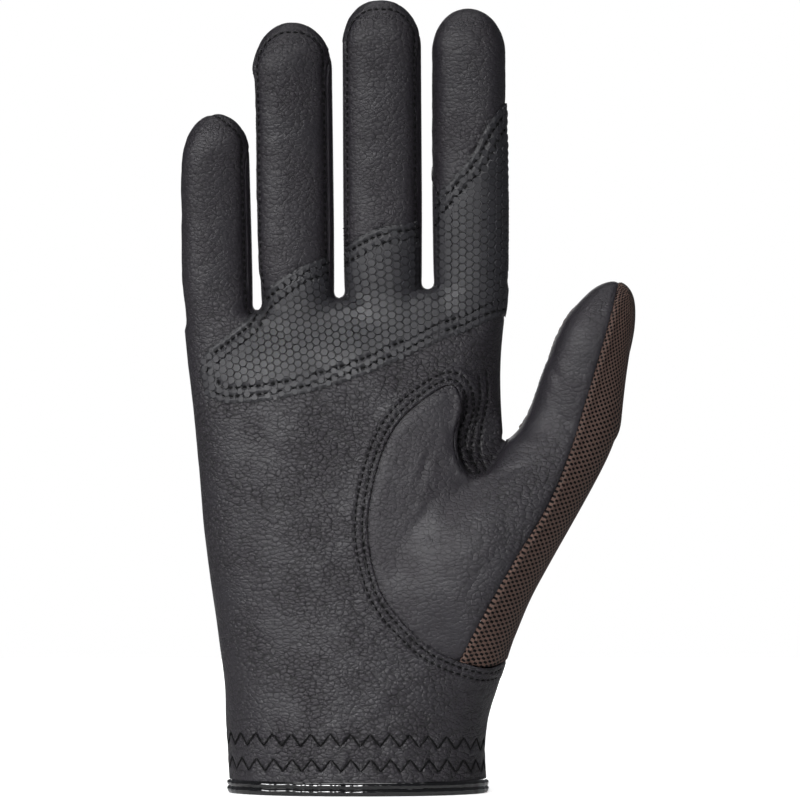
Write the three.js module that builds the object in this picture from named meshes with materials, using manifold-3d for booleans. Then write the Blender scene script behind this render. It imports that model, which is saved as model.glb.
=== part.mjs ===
// A right-hand horse riding glove in its worn shape, every panel a wall of its own.
// Millimetres. +X runs to the thumb, -Y out of the palm, +Z up the fingers.
// The origin is the middle of the opening at the hem.
import * as THREE from 'three';
import { mergeVertices } from 'three/addons/utils/BufferGeometryUtils.js';
import Module from 'manifold-3d';

const wasm = await Module();
wasm.setup();

// Walls and seams
const WALL = 1.4;              // leather and knitted mesh alike
const SEAM_GAP = 0.3;          // between two panels that meet
const SEAM_SHARE = 0.64;       // where a side seam lies on a finger's half depth
const PALM_SEAM_SHARE = 0.45;  // where the leather ends on the palm's back half
const STRIP_TAPER = 0.8;       // a finger's side strip narrows over this many tip widths
const STRIP_END = 0.2;         // and ends this many tip widths below the tip

// Cuff and palm
const CUFF_WIDTH = 71.6;
const CUFF_DEPTH = 43;
const PALM_LENGTH = 139;       // hem to the middle of the line of finger crotches
const CROTCH_SLOPE = 0.125;    // how that line rises to the index finger, per millimetre across
const CROTCH_ROLL = 4;         // height of the rounded edge between two fingers
const KNUCKLE_SHIFT = -3.4;    // the row of fingers sits this far off the middle of the cuff
const KNUCKLE_DEPTH = 17.8;

// Binding of the hem
const BINDING_HEIGHT = 4;
const BINDING_WALL = 0.8;
const BINDING_RIDGE = 0.35;    // how far its two ridges stand out
const BINDING_FLOOR = 1.2;     // what lies under the panels' edge
const EDGE_WALL = 0.7;         // the panels' edge, skived thin where the binding holds it
const BINDING_ROWS = [         // up is a share of its height, out of the ridges' height
  { up: 0.00, out: -0.5 },
  { up: 0.26, out: 1.0 },
  { up: 0.50, out: -0.2 },
  { up: 0.74, out: 1.0 },
  { up: 1.00, out: -0.5 },
];

// Thumb
const THUMB_CROTCH = 98.3;     // height of the crotch above the hem
const THUMB_LENGTH = 44.8;     // from the crotch to the tip
const THUMB_REACH = 77.3;      // from the middle of the cuff to the thumb's outer side
const THUMB_WIDTH = 24;
const THUMB_DEPTH = 19.5;
const THUMB_FORWARD = 5;       // how far its tip leans out of the palm
const THUMB_SEAM_SHARE = 0.3;  // where its leather ends on the side of the index finger

// Grip patch
const PATCH_THICKNESS = 0.7;
const PATCH_INSET = 0.9;       // from the side seams

// Fingers, from the little one to the index. lean is how far the tip stands off the root,
// gap the space to the finger before it.
const FINGER_CURL = 5;
const FINGERS = [
  { name: 'little', root: 19.4, tip: 17.9, depth: 16.8, length: 55.2, lean: -0.7, gap: 0 },
  { name: 'ring', root: 20.9, tip: 21.5, depth: 18.2, length: 78.2, lean: -1.3, gap: 1.9 },
  { name: 'middle', root: 22.2, tip: 21.9, depth: 18.8, length: 81.6, lean: -0.4, gap: 2.3 },
  { name: 'index', root: 20.8, tip: 20.4, depth: 18.4, length: 76.1, lean: -0.6, gap: 2.8 },
];

// A finger's sections. up is a share of its length, wide of its width, deep of its depth.
const FINGER_ROWS = [
  { up: -0.34, wide: 0.62, deep: 0.72 },
  { up: -0.14, wide: 0.86, deep: 0.92 },
  { up: 0.00, wide: 0.98, deep: 1.00 },
  { up: 0.30, wide: 1.00, deep: 0.97 },
  { up: 0.60, wide: 1.00, deep: 0.92 },
  { up: 1.00, wide: 1.00, deep: 0.84 },
];
const TIP_RINGS = {                             // heights of rings in the rounded tip, as shares of it
  outside: [0, 0.36, 0.64, 0.84, 0.95],
  inside: [0, 0.5, 0.8, 0.95],
};
const STRIP_RINGS = [0.1, 0.35, 0.6, 0.75, 0.85, 0.93];  // the side strips', as shares of its length
const FINGER_SQUARE = 2.7;                      // exponent of the section, 2 is an ellipse

// The palm's sections. up is a share of the palm's length; left, right, front and back are shares
// of the way from the cuff's edge to the knuckles' edge; tilt is a share of the crotch slope.
const PALM_ROWS = [
  { up: 0.00, left: 0.00, right: 0.06, front: 0.00, back: 0.00, tilt: 0.0, square: 2.2 },
  { up: 0.10, left: 0.05, right: -0.10, front: 0.05, back: 0.06, tilt: 0.0, square: 2.25 },
  { up: 0.16, left: 0.08, right: 0.10, front: 0.09, back: 0.12, tilt: 0.0, square: 2.3 },
  { up: 0.22, left: 0.12, right: 0.55, front: 0.13, back: 0.20, tilt: 0.0, square: 2.35 },
  { up: 0.29, left: 0.22, right: 0.95, front: 0.19, back: 0.30, tilt: 0.0, square: 2.4 },
  { up: 0.40, left: 0.39, right: 1.05, front: 0.28, back: 0.42, tilt: 0.0, square: 2.5 },
  { up: 0.52, left: 0.56, right: 1.02, front: 0.38, back: 0.52, tilt: 0.1, square: 2.6 },
  { up: 0.66, left: 0.67, right: 0.90, front: 0.47, back: 0.60, tilt: 0.3, square: 2.7 },
  { up: 0.79, left: 0.80, right: 0.68, front: 0.58, back: 0.66, tilt: 0.6, square: 2.8 },
  { up: 0.89, left: 0.90, right: 0.74, front: 0.74, back: 0.78, tilt: 0.85, square: 3.0 },
  { up: 0.97, left: 0.98, right: 0.92, front: 0.98, back: 0.98, tilt: 1.0, square: 3.2 },
];
// The rolled edge of the crotches: up is a share of the roll's height, in of that height too.
const ROLL_ROWS = [
  { up: 0.55, in: 0.25, deep: 0.86 },
  { up: 0.9, in: 0.6, deep: 0.6 },
  { up: 1.0, in: 1.0, deep: 0.28 },
];

// The thumb's sections. up to 1 is a share of the crotch's height, above 1 of the thumb's length;
// out is the outer edge's share of the way from the palm's edge to the thumb's reach; wide, front
// and back are shares of the thumb's width and half depth; lean of its lean out of the palm.
const THUMB_ROWS = [
  { up: 0.34, out: -0.06, wide: 0.70, front: 1.40, back: 0.95, lean: 0.0 },
  { up: 0.44, out: 0.06, wide: 1.24, front: 1.84, back: 1.28, lean: 0.0 },
  { up: 0.55, out: 0.18, wide: 1.62, front: 1.99, back: 1.42, lean: 0.0 },
  { up: 0.68, out: 0.38, wide: 1.80, front: 1.95, back: 1.42, lean: 0.0 },
  { up: 0.82, out: 0.60, wide: 1.66, front: 1.70, back: 1.32, lean: 0.0 },
  { up: 0.92, out: 0.75, wide: 1.42, front: 1.40, back: 1.20, lean: 0.05 },
  { up: 1.00, out: 0.855, wide: 1.27, front: 1.18, back: 1.10, lean: 0.12 },
  { up: 1.08, out: 0.895, wide: 1.17, front: 1.08, back: 1.04, lean: 0.2 },
  { up: 1.22, out: 0.91, wide: 1.06, front: 1.03, back: 1.01, lean: 0.4 },
  { up: 1.40, out: 0.935, wide: 0.985, front: 1.00, back: 1.00, lean: 0.6 },
  { up: 1.62, out: 0.975, wide: 0.885, front: 0.96, back: 0.96, lean: 0.8 },
  { up: 1.79, out: 1.00, wide: 0.76, front: 0.88, back: 0.88, lean: 0.95 },
  { up: 1.91, out: 0.995, wide: 0.57, front: 0.7, back: 0.7, lean: 1.0 },
  { up: 1.975, out: 0.965, wide: 0.34, front: 0.46, back: 0.46, lean: 1.0 },
  { up: 2.0, out: 0.92, wide: 0.12, front: 0.18, back: 0.18, lean: 1.0 },
];
const THUMB_SQUARE = 2.4;

// The deep fold between the ball of the thumb and the index finger. up is a share of the thumb
// crotch's height, across of the way from the middle to the palm's edge, half of the thumb's width;
// floor is how deep it goes, as a share of the palm's front half depth there.
const FOLD_ROWS = [
  { up: 0.885, across: 0.80, half: 0.04, floor: 0.95 },
  { up: 0.91, across: 0.815, half: 0.11, floor: 0.5 },
  { up: 0.95, across: 0.82, half: 0.165, floor: 0.2 },
  { up: 1.00, across: 0.80, half: 0.165, floor: 0.12 },
  { up: 1.06, across: 0.775, half: 0.12, floor: 0.25 },
  { up: 1.12, across: 0.75, half: 0.08, floor: 0.48 },
  { up: 1.20, across: 0.735, half: 0.04, floor: 0.8 },
];
const FOLD_FLOOR = 0.35;        // half width of its floor, as a share of half
const FOLD_MOUTH = 3.4;         // and at its outer end
const FOLD_OUT = 2;             // where that end lies, in half depths of the palm

// The oval seam round the ball of the thumb, from the crotch round to the outer side, in the same
// shares, then the same seam on the back of the hand.
const OVAL_ROWS = [
  { across: 0.99, up: 1.00 }, { across: 0.915, up: 0.94 }, { across: 0.84, up: 0.905 },
  { across: 0.765, up: 0.897 }, { across: 0.69, up: 0.925 }, { across: 0.64, up: 0.985 },
  { across: 0.65, up: 1.035 }, { across: 0.695, up: 1.09 }, { across: 0.675, up: 1.138 },
  { across: 0.615, up: 1.16 }, { across: 0.485, up: 1.133 }, { across: 0.295, up: 1.065 },
  { across: 0.17, up: 0.975 }, { across: 0.085, up: 0.837 }, { across: 0.073, up: 0.718 },
  { across: 0.157, up: 0.576 }, { across: 0.33, up: 0.478 }, { across: 0.54, up: 0.405 },
  { across: 0.83, up: 0.362 }, { across: 1.02, up: 0.376 },
];
const OVAL_PARTING = 0.5;       // share of the palm's length whose depth parts the two seams
const BACK_OVAL_ROWS = [
  { across: 0.99, up: 1.00 }, { across: 0.86, up: 0.87 }, { across: 0.78, up: 0.73 },
  { across: 0.79, up: 0.57 }, { across: 0.87, up: 0.43 }, { across: 1.02, up: 0.376 },
];

// The line that parts the thumb from the index finger, in millimetres from the crotch
const PARTING_ROWS = [{ right: 1, above: 4 }, { right: 4, above: 12 }, { right: 4, above: 150 }];

// The seam between the thumb's leather and its mesh, from above the tip to below the oval. across is
// a share of the thumb's reach, up as in the thumb's sections.
const THUMB_SEAM_ROWS = [
  { across: 0.955, up: 2.08 }, { across: 0.902, up: 1.725 }, { across: 0.862, up: 1.48 },
  { across: 0.819, up: 1.237 }, { across: 0.765, up: 0.971 }, { across: 0.688, up: 0.823 },
  { across: 0.558, up: 0.655 }, { across: 0.435, up: 0.484 }, { across: 0.345, up: 0.345 },
];

// The grip patch's border. across is a share of the finger row's half width from its middle, up of
// the palm's length.
const PATCH_TOP_ROWS = [
  { across: -0.898, up: 0.84 }, { across: -0.868, up: 0.884 }, { across: -0.732, up: 0.921 },
  { across: -0.616, up: 0.953 }, { across: -0.525, up: 0.999 }, { across: -0.304, up: 1.052 },
  { across: -0.083, up: 1.083 }, { across: 0.179, up: 1.132 }, { across: 0.444, up: 1.15 },
  { across: 0.522, up: 1.186 }, { across: 0.761, up: 1.273 }, { across: 0.872, up: 1.34 },
  { across: 0.99, up: 1.388 }, { across: 1.1, up: 1.4 },
];
const PATCH_BOTTOM_ROWS = [
  { across: 1.1, up: 0.955 }, { across: 0.964, up: 0.957 }, { across: 0.774, up: 0.932 },
  { across: 0.57, up: 0.906 }, { across: 0.186, up: 0.849 }, { across: -0.046, up: 0.822 },
  { across: -0.365, up: 0.795 }, { across: -0.702, up: 0.783 }, { across: -0.85, up: 0.796 },
];

// Sides of the meshes
const FINGER_SIDES = { outside: 16, inside: 12 };
const PALM_SIDES = { outside: 30, inside: 24 };
const THUMB_SIDES = { outside: 18, inside: 14 };
const OUTLINE_STEPS = 30;
const RING_SPACING = 1;         // least distance between two sections
const WELD = 1e-5;              // points this close are one
const FAR = 300;                // beyond the glove on every side
const PAST = 3;                 // how far a cutting block runs past what it cuts
const OVERLAP = 0.05;           // of cutting blocks that stand side by side

// Small helpers
function face(grow) {
  return grow < 0 ? 'inside' : 'outside';
}

function mix(from, to, share) {
  return from + (to - from) * share;
}

function rowAt(rows, up) {
  // The table's row at a height, between the two rows next to it.
  const next = rows.findIndex((row) => row.up >= up);
  if (next === 0) return { ...rows[0] };
  if (next < 0) return { ...rows[rows.length - 1] };
  const low = rows[next - 1];
  const high = rows[next];
  const share = (up - low.up) / (high.up - low.up);
  return Object.fromEntries(Object.keys(low).map((key) => [key, mix(low[key], high[key], share)]));
}

function toManifold(geometry) {
  geometry.deleteAttribute('normal');
  geometry.deleteAttribute('uv');
  const merged = mergeVertices(geometry, WELD);
  return new wasm.Manifold(new wasm.Mesh({
    numProp: 3,
    vertProperties: new Float32Array(merged.attributes.position.array),
    triVerts: new Uint32Array(merged.index.array),
  }));
}

function loft(rings) {
  // A closed solid through rings of points that run the same way round, capped flat at both ends.
  const sides = rings[0].length;
  const points = rings.flat();
  const faces = [];
  for (let ring = 0; ring + 1 < rings.length; ring += 1) {
    for (let side = 0; side < sides; side += 1) {
      const a = ring * sides + side;
      const b = ring * sides + ((side + 1) % sides);
      faces.push(a, b, b + sides, a, b + sides, a + sides);
    }
  }
  const top = (rings.length - 1) * sides;
  for (let side = 1; side + 1 < sides; side += 1) {
    faces.push(0, side + 1, side);
    faces.push(top, top + side, top + side + 1);
  }
  const geometry = new THREE.BufferGeometry().setFromPoints(points);
  geometry.setIndex(faces);
  return toManifold(geometry);
}

function sectionRing(section, sides) {
  // A rounded section: left and right edges, depths to the front and back of its middle line.
  const middle = (section.left + section.right) / 2;
  const half = (section.right - section.left) / 2;
  return Array.from({ length: sides }, (_, side) => {
    const angle = (2 * Math.PI * (side + 0.5)) / sides;
    const power = 2 / section.square;
    const across = Math.sign(Math.cos(angle)) * Math.abs(Math.cos(angle)) ** power;
    const deep = Math.sign(Math.sin(angle)) * Math.abs(Math.sin(angle)) ** power;
    const x = middle + half * across;
    const y = section.centre + deep * (deep < 0 ? section.front : section.back);
    return new THREE.Vector3(x, y, section.z + section.slope * x);
  });
}

function boxRing(left, right, front, back, z, slope = 0) {
  const corners = [[left, front], [right, front], [right, back], [left, back]];
  return corners.map(([x, y]) => new THREE.Vector3(x, y, z + slope * x));
}

function smoothOutline(points, steps = OUTLINE_STEPS) {
  const curve = new THREE.SplineCurve(points.map(([x, z]) => new THREE.Vector2(x, z)));
  return curve.getPoints(steps);
}

function shifted(points, distance) {
  // The same run of points, moved to its left by a distance.
  return points.map((point, i) => {
    const before = points[Math.max(i - 1, 0)];
    const after = points[Math.min(i + 1, points.length - 1)];
    const along = after.clone().sub(before).normalize();
    return new THREE.Vector2(point.x - along.y * distance, point.y + along.x * distance);
  });
}

function plate(points, front, back) {
  // An outline seen from the front, made a block from one depth to another.
  const geometry = new THREE.ExtrudeGeometry(new THREE.Shape(points), {
    depth: back - front, bevelEnabled: false, steps: 1,
  });
  geometry.rotateX(Math.PI / 2);
  geometry.translate(0, back, 0);
  return toManifold(geometry);
}

function joined(solids) {
  return solids.reduce((sum, solid) => sum.add(solid));
}

function largest(solid) {
  // The main body, without the crumbs that a slanting cut leaves.
  return solid.decompose().reduce((best, next) => (next.volume() > best.volume() ? next : best));
}

// Fingers: each one's place follows from the widths and gaps of all
const rowWidth = FINGERS.reduce((sum, finger) => sum + finger.root + finger.gap, 0);
const rowLeft = KNUCKLE_SHIFT - rowWidth / 2;
const rowRight = KNUCKLE_SHIFT + rowWidth / 2;

function crotchHeight(x) {
  return PALM_LENGTH + CROTCH_SLOPE * x;
}

let rowEdge = rowLeft;
const fingers = FINGERS.map((finger) => {
  const centre = rowEdge + finger.gap + finger.root / 2;
  rowEdge = centre + finger.root / 2;
  const foot = crotchHeight(centre);
  return { ...finger, centre, foot, top: foot + finger.length };
});

function fingerAt(finger, z, grow = 0) {
  // A finger's section at a height. Past the start of the rounded tip it closes like a dome.
  const up = (z - finger.foot) / finger.length;
  const row = rowAt(FINGER_ROWS, up);
  const along = THREE.MathUtils.clamp(up, 0, 1);
  const half = (row.wide * mix(finger.root, finger.tip, along)) / 2 + grow;
  const dome = finger.tip / 2;
  const rise = THREE.MathUtils.clamp((z - (finger.top - dome)) / (dome + grow), 0, 1);
  const middle = finger.centre + finger.lean * along;
  const width = half * Math.sqrt(1 - rise ** 2);
  const depth = ((finger.depth * row.deep) / 2 + grow) * (1 - rise ** FINGER_SQUARE) ** (1 / FINGER_SQUARE);
  return {
    z, slope: 0, square: FINGER_SQUARE,
    left: middle - width, right: middle + width, front: depth, back: depth,
    centre: -FINGER_CURL * along ** 2,
  };
}

function fingerHeights(finger, grow) {
  const dome = finger.tip / 2;
  const straight = FINGER_ROWS.map((row) => finger.foot + row.up * finger.length);
  const domed = TIP_RINGS[face(grow)].map((share) => finger.top - dome + share * (dome + grow));
  return [...straight.filter((z) => z < finger.top - dome - RING_SPACING), ...domed];
}

function fingerSolid(finger, grow) {
  const sides = FINGER_SIDES[face(grow)];
  return loft(fingerHeights(finger, grow).map((z) => sectionRing(fingerAt(finger, z, grow), sides)));
}

// Palm
function palmAt(row, grow) {
  const knuckle = KNUCKLE_DEPTH / 2;
  return {
    z: row.up * PALM_LENGTH, slope: row.tilt * CROTCH_SLOPE, square: row.square, centre: 0,
    left: mix(-CUFF_WIDTH / 2, rowLeft, row.left) - grow,
    right: mix(CUFF_WIDTH / 2, rowRight, row.right) + grow,
    front: mix(CUFF_DEPTH / 2, knuckle, row.front) + grow,
    back: mix(CUFF_DEPTH / 2, knuckle, row.back) + grow,
  };
}

function palmRings(grow) {
  const body = PALM_ROWS.map((row) => palmAt(row, grow));
  const last = PALM_ROWS[PALM_ROWS.length - 1];
  const below = palmAt(last, grow);
  const rolled = ROLL_ROWS.map((row) => ({
    ...below,
    z: mix(last.up * PALM_LENGTH, PALM_LENGTH + grow, row.up),
    left: below.left + row.in * CROTCH_ROLL,
    right: below.right - row.in * CROTCH_ROLL,
    front: below.front * row.deep,
    back: below.back * row.deep,
  }));
  return [...body, ...rolled].map((section) => sectionRing(section, PALM_SIDES[face(grow)]));
}

// Thumb
function thumbHeight(up) {
  return up <= 1 ? up * THUMB_CROTCH : THUMB_CROTCH + (up - 1) * THUMB_LENGTH;
}

function thumbAt(row, grow) {
  const outer = mix(rowRight, THUMB_REACH, row.out);
  return {
    z: thumbHeight(row.up), slope: 0, square: THUMB_SQUARE, centre: -THUMB_FORWARD * row.lean,
    left: outer - row.wide * THUMB_WIDTH - grow,
    right: outer + grow,
    front: (row.front * THUMB_DEPTH) / 2 + grow,
    back: (row.back * THUMB_DEPTH) / 2 + grow,
  };
}

function thumbSolid(grow) {
  const sections = THUMB_ROWS.map((row) => thumbAt(row, grow));
  const last = sections[sections.length - 1];
  last.z += grow;
  return loft(sections.map((section) => sectionRing(section, THUMB_SIDES[face(grow)])));
}

function palmFrontAt(z) {
  return palmAt(rowAt(PALM_ROWS, z / PALM_LENGTH), 0).front;
}

function foldSolid(grow) {
  // The fold is a wedge that opens to the front. Growing it leaves a wall round it.
  const rings = FOLD_ROWS.map((row, i) => {
    const end = i === 0 ? -1 : Number(i === FOLD_ROWS.length - 1);
    const z = row.up * THUMB_CROTCH + end * grow;
    const middle = row.across * rowRight;
    const half = row.half * THUMB_WIDTH + grow;
    const depth = palmFrontAt(z);
    const corners = [
      [-half * FOLD_MOUTH, -FOLD_OUT * depth], [half * FOLD_MOUTH, -FOLD_OUT * depth],
      [half * FOLD_FLOOR, grow - depth * row.floor], [-half * FOLD_FLOOR, grow - depth * row.floor],
    ];
    return corners.map(([x, y]) => new THREE.Vector3(middle + x, y, z));
  });
  return loft(rings);
}

function handSolid(grow) {
  // The whole hand at an offset from the outer surface. Inside, the palm runs out through the hem.
  const rings = palmRings(grow);
  if (grow < 0) rings.unshift(rings[0].map((point) => point.clone().setZ(-BINDING_HEIGHT)));
  const parts = [loft(rings), thumbSolid(grow), ...fingers.map((finger) => fingerSolid(finger, grow))];
  return joined(parts).subtract(foldSolid(-grow));
}

// Seams between the fingers' panels
function seamHalf(finger, z) {
  // Half the width of a side strip, which narrows to the tip.
  const taper = THREE.MathUtils.clamp((finger.top - z) / (STRIP_TAPER * finger.tip), 0, 1);
  return SEAM_SHARE * fingerAt(finger, z).front * taper;
}

function edgeLine(finger, z, side) {
  // A finger's left (-1) or right (1) edge, as a straight line through the root and the tip.
  const along = (z - finger.foot) / finger.length;
  return finger.centre + finger.lean * along + (side * mix(finger.root, finger.tip, along)) / 2;
}

function gapMiddle(index, z) {
  // The line half way between a finger and the next one.
  return (edgeLine(fingers[index], z, 1) + edgeLine(fingers[index + 1], z, -1)) / 2;
}

function stripEnd(finger) {
  return finger.top - STRIP_END * finger.tip;
}

function seamHeights(finger, from, to) {
  const heights = STRIP_RINGS.map((share) => finger.foot + share * finger.length);
  return [from, ...heights.filter((z) => z > from + RING_SPACING && z < to - RING_SPACING), to];
}

function stripSolid(index, clearance) {
  // The space of the strip between a finger and the next one, down to below the crotch.
  const sides = [fingers[index], fingers[index + 1]].map((finger, turn) => {
    const crotch = crotchHeight(gapMiddle(index, finger.foot));
    const from = crotch - WALL - 2 * SEAM_GAP - clearance;
    const rings = seamHeights(finger, from, stripEnd(finger) + clearance).map((z) => {
      const half = seamHalf(finger, z) + clearance;
      const middle = fingerAt(finger, z).centre;
      const edge = gapMiddle(index, z);
      const left = turn === 0 ? finger.centre : edge - OVERLAP;
      const right = turn === 0 ? edge : finger.centre;
      return boxRing(left, right, middle - half, middle + half, z);
    });
    return loft(rings);
  });
  return joined(sides);
}

function backSolid(clearance) {
  // Everything behind the back seams of the fingers and the palm.
  const columns = fingers.map((finger, index) => {
    const foot = finger.foot - 2 * CROTCH_ROLL;
    const rings = seamHeights(finger, foot, finger.top + PAST).map((z) => {
      const left = index === 0 ? -FAR : gapMiddle(index - 1, z) - OVERLAP;
      const right = index === fingers.length - 1 ? FAR : gapMiddle(index, z);
      const seam = fingerAt(finger, z).centre + seamHalf(finger, z) + clearance;
      return boxRing(left, right, seam, FAR, z);
    });
    return loft(rings);
  });
  const palm = PALM_ROWS.map((row, i) => {
    const next = PALM_ROWS[Math.min(i + 1, PALM_ROWS.length - 1)];
    const between = rowAt(PALM_ROWS, (row.up + next.up) / 2);
    const section = palmAt(between, 0);
    const share = mix(PALM_SEAM_SHARE, SEAM_SHARE, between.up);
    const z = i === 0 ? -BINDING_HEIGHT : section.z;
    return boxRing(-FAR, FAR, share * section.back + clearance, FAR, z, section.slope);
  });
  return joined([...columns, loft(palm)]);
}

// Thumb panels
function ovalPoints(rows) {
  return smoothOutline(rows.map((row) => [row.across * rowRight, row.up * THUMB_CROTCH]));
}

function thumbSpace(clearance) {
  // The space of the thumb's panels: the oval in front, a plainer line behind, the thumb between.
  const seam = palmAt(rowAt(PALM_ROWS, OVAL_PARTING), 0).back * PALM_SEAM_SHARE;
  const ovals = [[OVAL_ROWS, -FAR, seam], [BACK_OVAL_ROWS, seam - OVERLAP, FAR]];
  const sides = ovals.map(([rows, front, back]) => {
    const seamLine = shifted(ovalPoints(rows), clearance);
    const crotch = seamLine[0];
    const lowest = seamLine[seamLine.length - 1];
    const parting = PARTING_ROWS.map(
      (row) => new THREE.Vector2(crotch.x + row.right, crotch.y + row.above),
    ).reverse();
    const outer = [new THREE.Vector2(FAR, lowest.y), new THREE.Vector2(FAR, parting[0].y)];
    return plate([...seamLine, ...outer, ...parting], front, back);
  });
  return joined(sides);
}

function thumbMeshSpace(clearance) {
  // Right of the seam in front, and all of the back.
  const seamLine = shifted(smoothOutline(THUMB_SEAM_ROWS.map(
    (row) => [row.across * THUMB_REACH, thumbHeight(row.up)],
  )), clearance);
  const outer = [new THREE.Vector2(FAR, 0), new THREE.Vector2(FAR, FAR)];
  const front = plate([...seamLine, ...outer], -FAR, FAR);
  const back = THUMB_ROWS.map((row, i) => {
    const section = thumbAt(row, 0);
    const end = i === 0 ? -PAST : Number(i === THUMB_ROWS.length - 1) * PAST;
    const seam = section.centre + THUMB_SEAM_SHARE * section.back + clearance;
    return boxRing(-FAR, FAR, seam, FAR, section.z + end);
  });
  return front.add(loft(back));
}

// Panels
const hemLift = BINDING_FLOOR + SEAM_GAP;

function cuffRing(grow, z, wallFace = 'outside') {
  return sectionRing({ ...palmAt(PALM_ROWS[0], grow), z }, PALM_SIDES[wallFace]);
}

function hemCut() {
  // What the panels lose at the hem: all below the binding's floor, and their outside in its slot.
  const skived = BINDING_HEIGHT + SEAM_GAP;
  const block = loft([boxRing(-FAR, FAR, -FAR, FAR, -FAR), boxRing(-FAR, FAR, -FAR, FAR, skived)]);
  const kept = loft([cuffRing(EDGE_WALL - WALL, hemLift), cuffRing(EDGE_WALL - WALL, skived + PAST)]);
  return block.subtract(kept);
}

const shell = handSolid(0).subtract(handSolid(-WALL)).subtract(hemCut());
const hand = shell.subtract(thumbSpace(0));
const thumb = shell.intersect(thumbSpace(SEAM_GAP));
const strips = [0, 1, 2].map((index) => stripSolid(index, 0));
const covers = hand.subtract(joined([0, 1, 2].map((index) => stripSolid(index, SEAM_GAP))));

function patchSolid() {
  const toPoint = (row) => [
    KNUCKLE_SHIFT + (row.across * rowWidth) / 2, row.up * PALM_LENGTH,
  ];
  const border = [
    ...smoothOutline(PATCH_TOP_ROWS.map(toPoint)), ...smoothOutline(PATCH_BOTTOM_ROWS.map(toPoint)),
  ].reverse();
  const skin = handSolid(SEAM_GAP + PATCH_THICKNESS).subtract(handSolid(SEAM_GAP));
  const sides = [0, 1, 2].map((index) => stripSolid(index, PATCH_INSET));
  return skin.intersect(plate(border, -FAR, FAR)).subtract(joined(sides)).subtract(backSolid(-PATCH_INSET));
}

function bindingSolid() {
  // A band folded over the hem, with two ridges outside, round the edge of the panels.
  const edge = EDGE_WALL - WALL + SEAM_GAP;
  const inside = -WALL - SEAM_GAP - BINDING_WALL;
  const lip = -WALL - SEAM_GAP;
  const top = BINDING_HEIGHT + PAST;
  const outer = loft(BINDING_ROWS.map((row) => cuffRing(row.out * BINDING_RIDGE, row.up * BINDING_HEIGHT)));
  const hole = loft([cuffRing(inside, -PAST, 'inside'), cuffRing(inside, top, 'inside')]);
  const slotOut = loft([cuffRing(edge, BINDING_FLOOR), cuffRing(edge, top)]);
  const slotIn = loft([cuffRing(lip, 0, 'inside'), cuffRing(lip, top + PAST, 'inside')]);
  return outer.subtract(hole).subtract(slotOut.subtract(slotIn));
}

const leatherFinish = { color: 0x34343a, roughness: 0.55, metalness: 0 };
const meshFinish = { color: 0x4b3f3c, roughness: 0.85, metalness: 0 };
const gripFinish = { color: 0x2b2b30, roughness: 0.45, metalness: 0 };
const patentFinish = { color: 0x101012, roughness: 0.15, metalness: 0 };

const panels = [
  { name: 'palm_leather', solid: covers.subtract(backSolid(0)), finish: leatherFinish },
  { name: 'back_mesh', solid: covers.intersect(backSolid(SEAM_GAP)), finish: meshFinish },
  ...strips.map((strip, index) => ({
    name: `fourchette_${fingers[index].name}_${fingers[index + 1].name}`,
    solid: hand.intersect(strip),
    finish: leatherFinish,
  })),
  { name: 'thumb_leather', solid: thumb.subtract(thumbMeshSpace(0)), finish: leatherFinish },
  { name: 'thumb_mesh', solid: thumb.intersect(thumbMeshSpace(SEAM_GAP)), finish: meshFinish },
  { name: 'grip_patch', solid: patchSolid(), finish: gripFinish },
  { name: 'cuff_binding', solid: bindingSolid(), finish: patentFinish },
];

const glove = new THREE.Group();
glove.name = 'riding_glove';
for (const { name, solid, finish } of panels) {
  const { vertProperties, triVerts } = largest(solid).getMesh();
  const geometry = new THREE.BufferGeometry();
  geometry.setAttribute('position', new THREE.BufferAttribute(new Float32Array(vertProperties), 3));
  geometry.setIndex(new THREE.BufferAttribute(new Uint32Array(triVerts), 1));
  geometry.computeVertexNormals();
  const mesh = new THREE.Mesh(geometry, new THREE.MeshStandardMaterial(finish));
  mesh.name = name;
  glove.add(mesh);
}

export default glove;
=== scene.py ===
"""A right-hand horse riding glove in its worn shape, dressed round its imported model.

Sizes are millimetres until a mesh is made of them. +X runs to the thumb, -Y out of the palm and
+Z up the fingers. The origin is the middle of the opening at the hem.
"""
import logging
import math
from dataclasses import dataclass, field
from enum import Enum
from typing import Any, Callable

import bpy
import numpy as np
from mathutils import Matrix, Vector
from mathutils.kdtree import KDTree


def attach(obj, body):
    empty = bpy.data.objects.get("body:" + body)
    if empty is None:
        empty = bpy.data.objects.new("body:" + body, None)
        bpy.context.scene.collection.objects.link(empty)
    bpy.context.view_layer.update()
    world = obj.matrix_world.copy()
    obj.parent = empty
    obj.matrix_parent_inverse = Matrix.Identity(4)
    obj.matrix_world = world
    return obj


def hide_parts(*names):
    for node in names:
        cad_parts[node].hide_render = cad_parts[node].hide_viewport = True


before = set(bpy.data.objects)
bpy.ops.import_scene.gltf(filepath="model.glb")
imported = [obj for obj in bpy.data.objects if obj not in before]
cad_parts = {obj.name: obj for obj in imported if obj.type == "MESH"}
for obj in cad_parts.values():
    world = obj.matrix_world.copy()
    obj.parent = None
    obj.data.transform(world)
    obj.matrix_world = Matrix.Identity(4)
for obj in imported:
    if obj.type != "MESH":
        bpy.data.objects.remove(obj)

Array = np.ndarray
LOG = logging.getLogger("riding_glove")
MM = 0.001
FAR = 300.0  # a place well past the glove
REACH = 90.0  # from its middle past its side
OUTSIDE = -20.0  # what a seam's field says far from it

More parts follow.
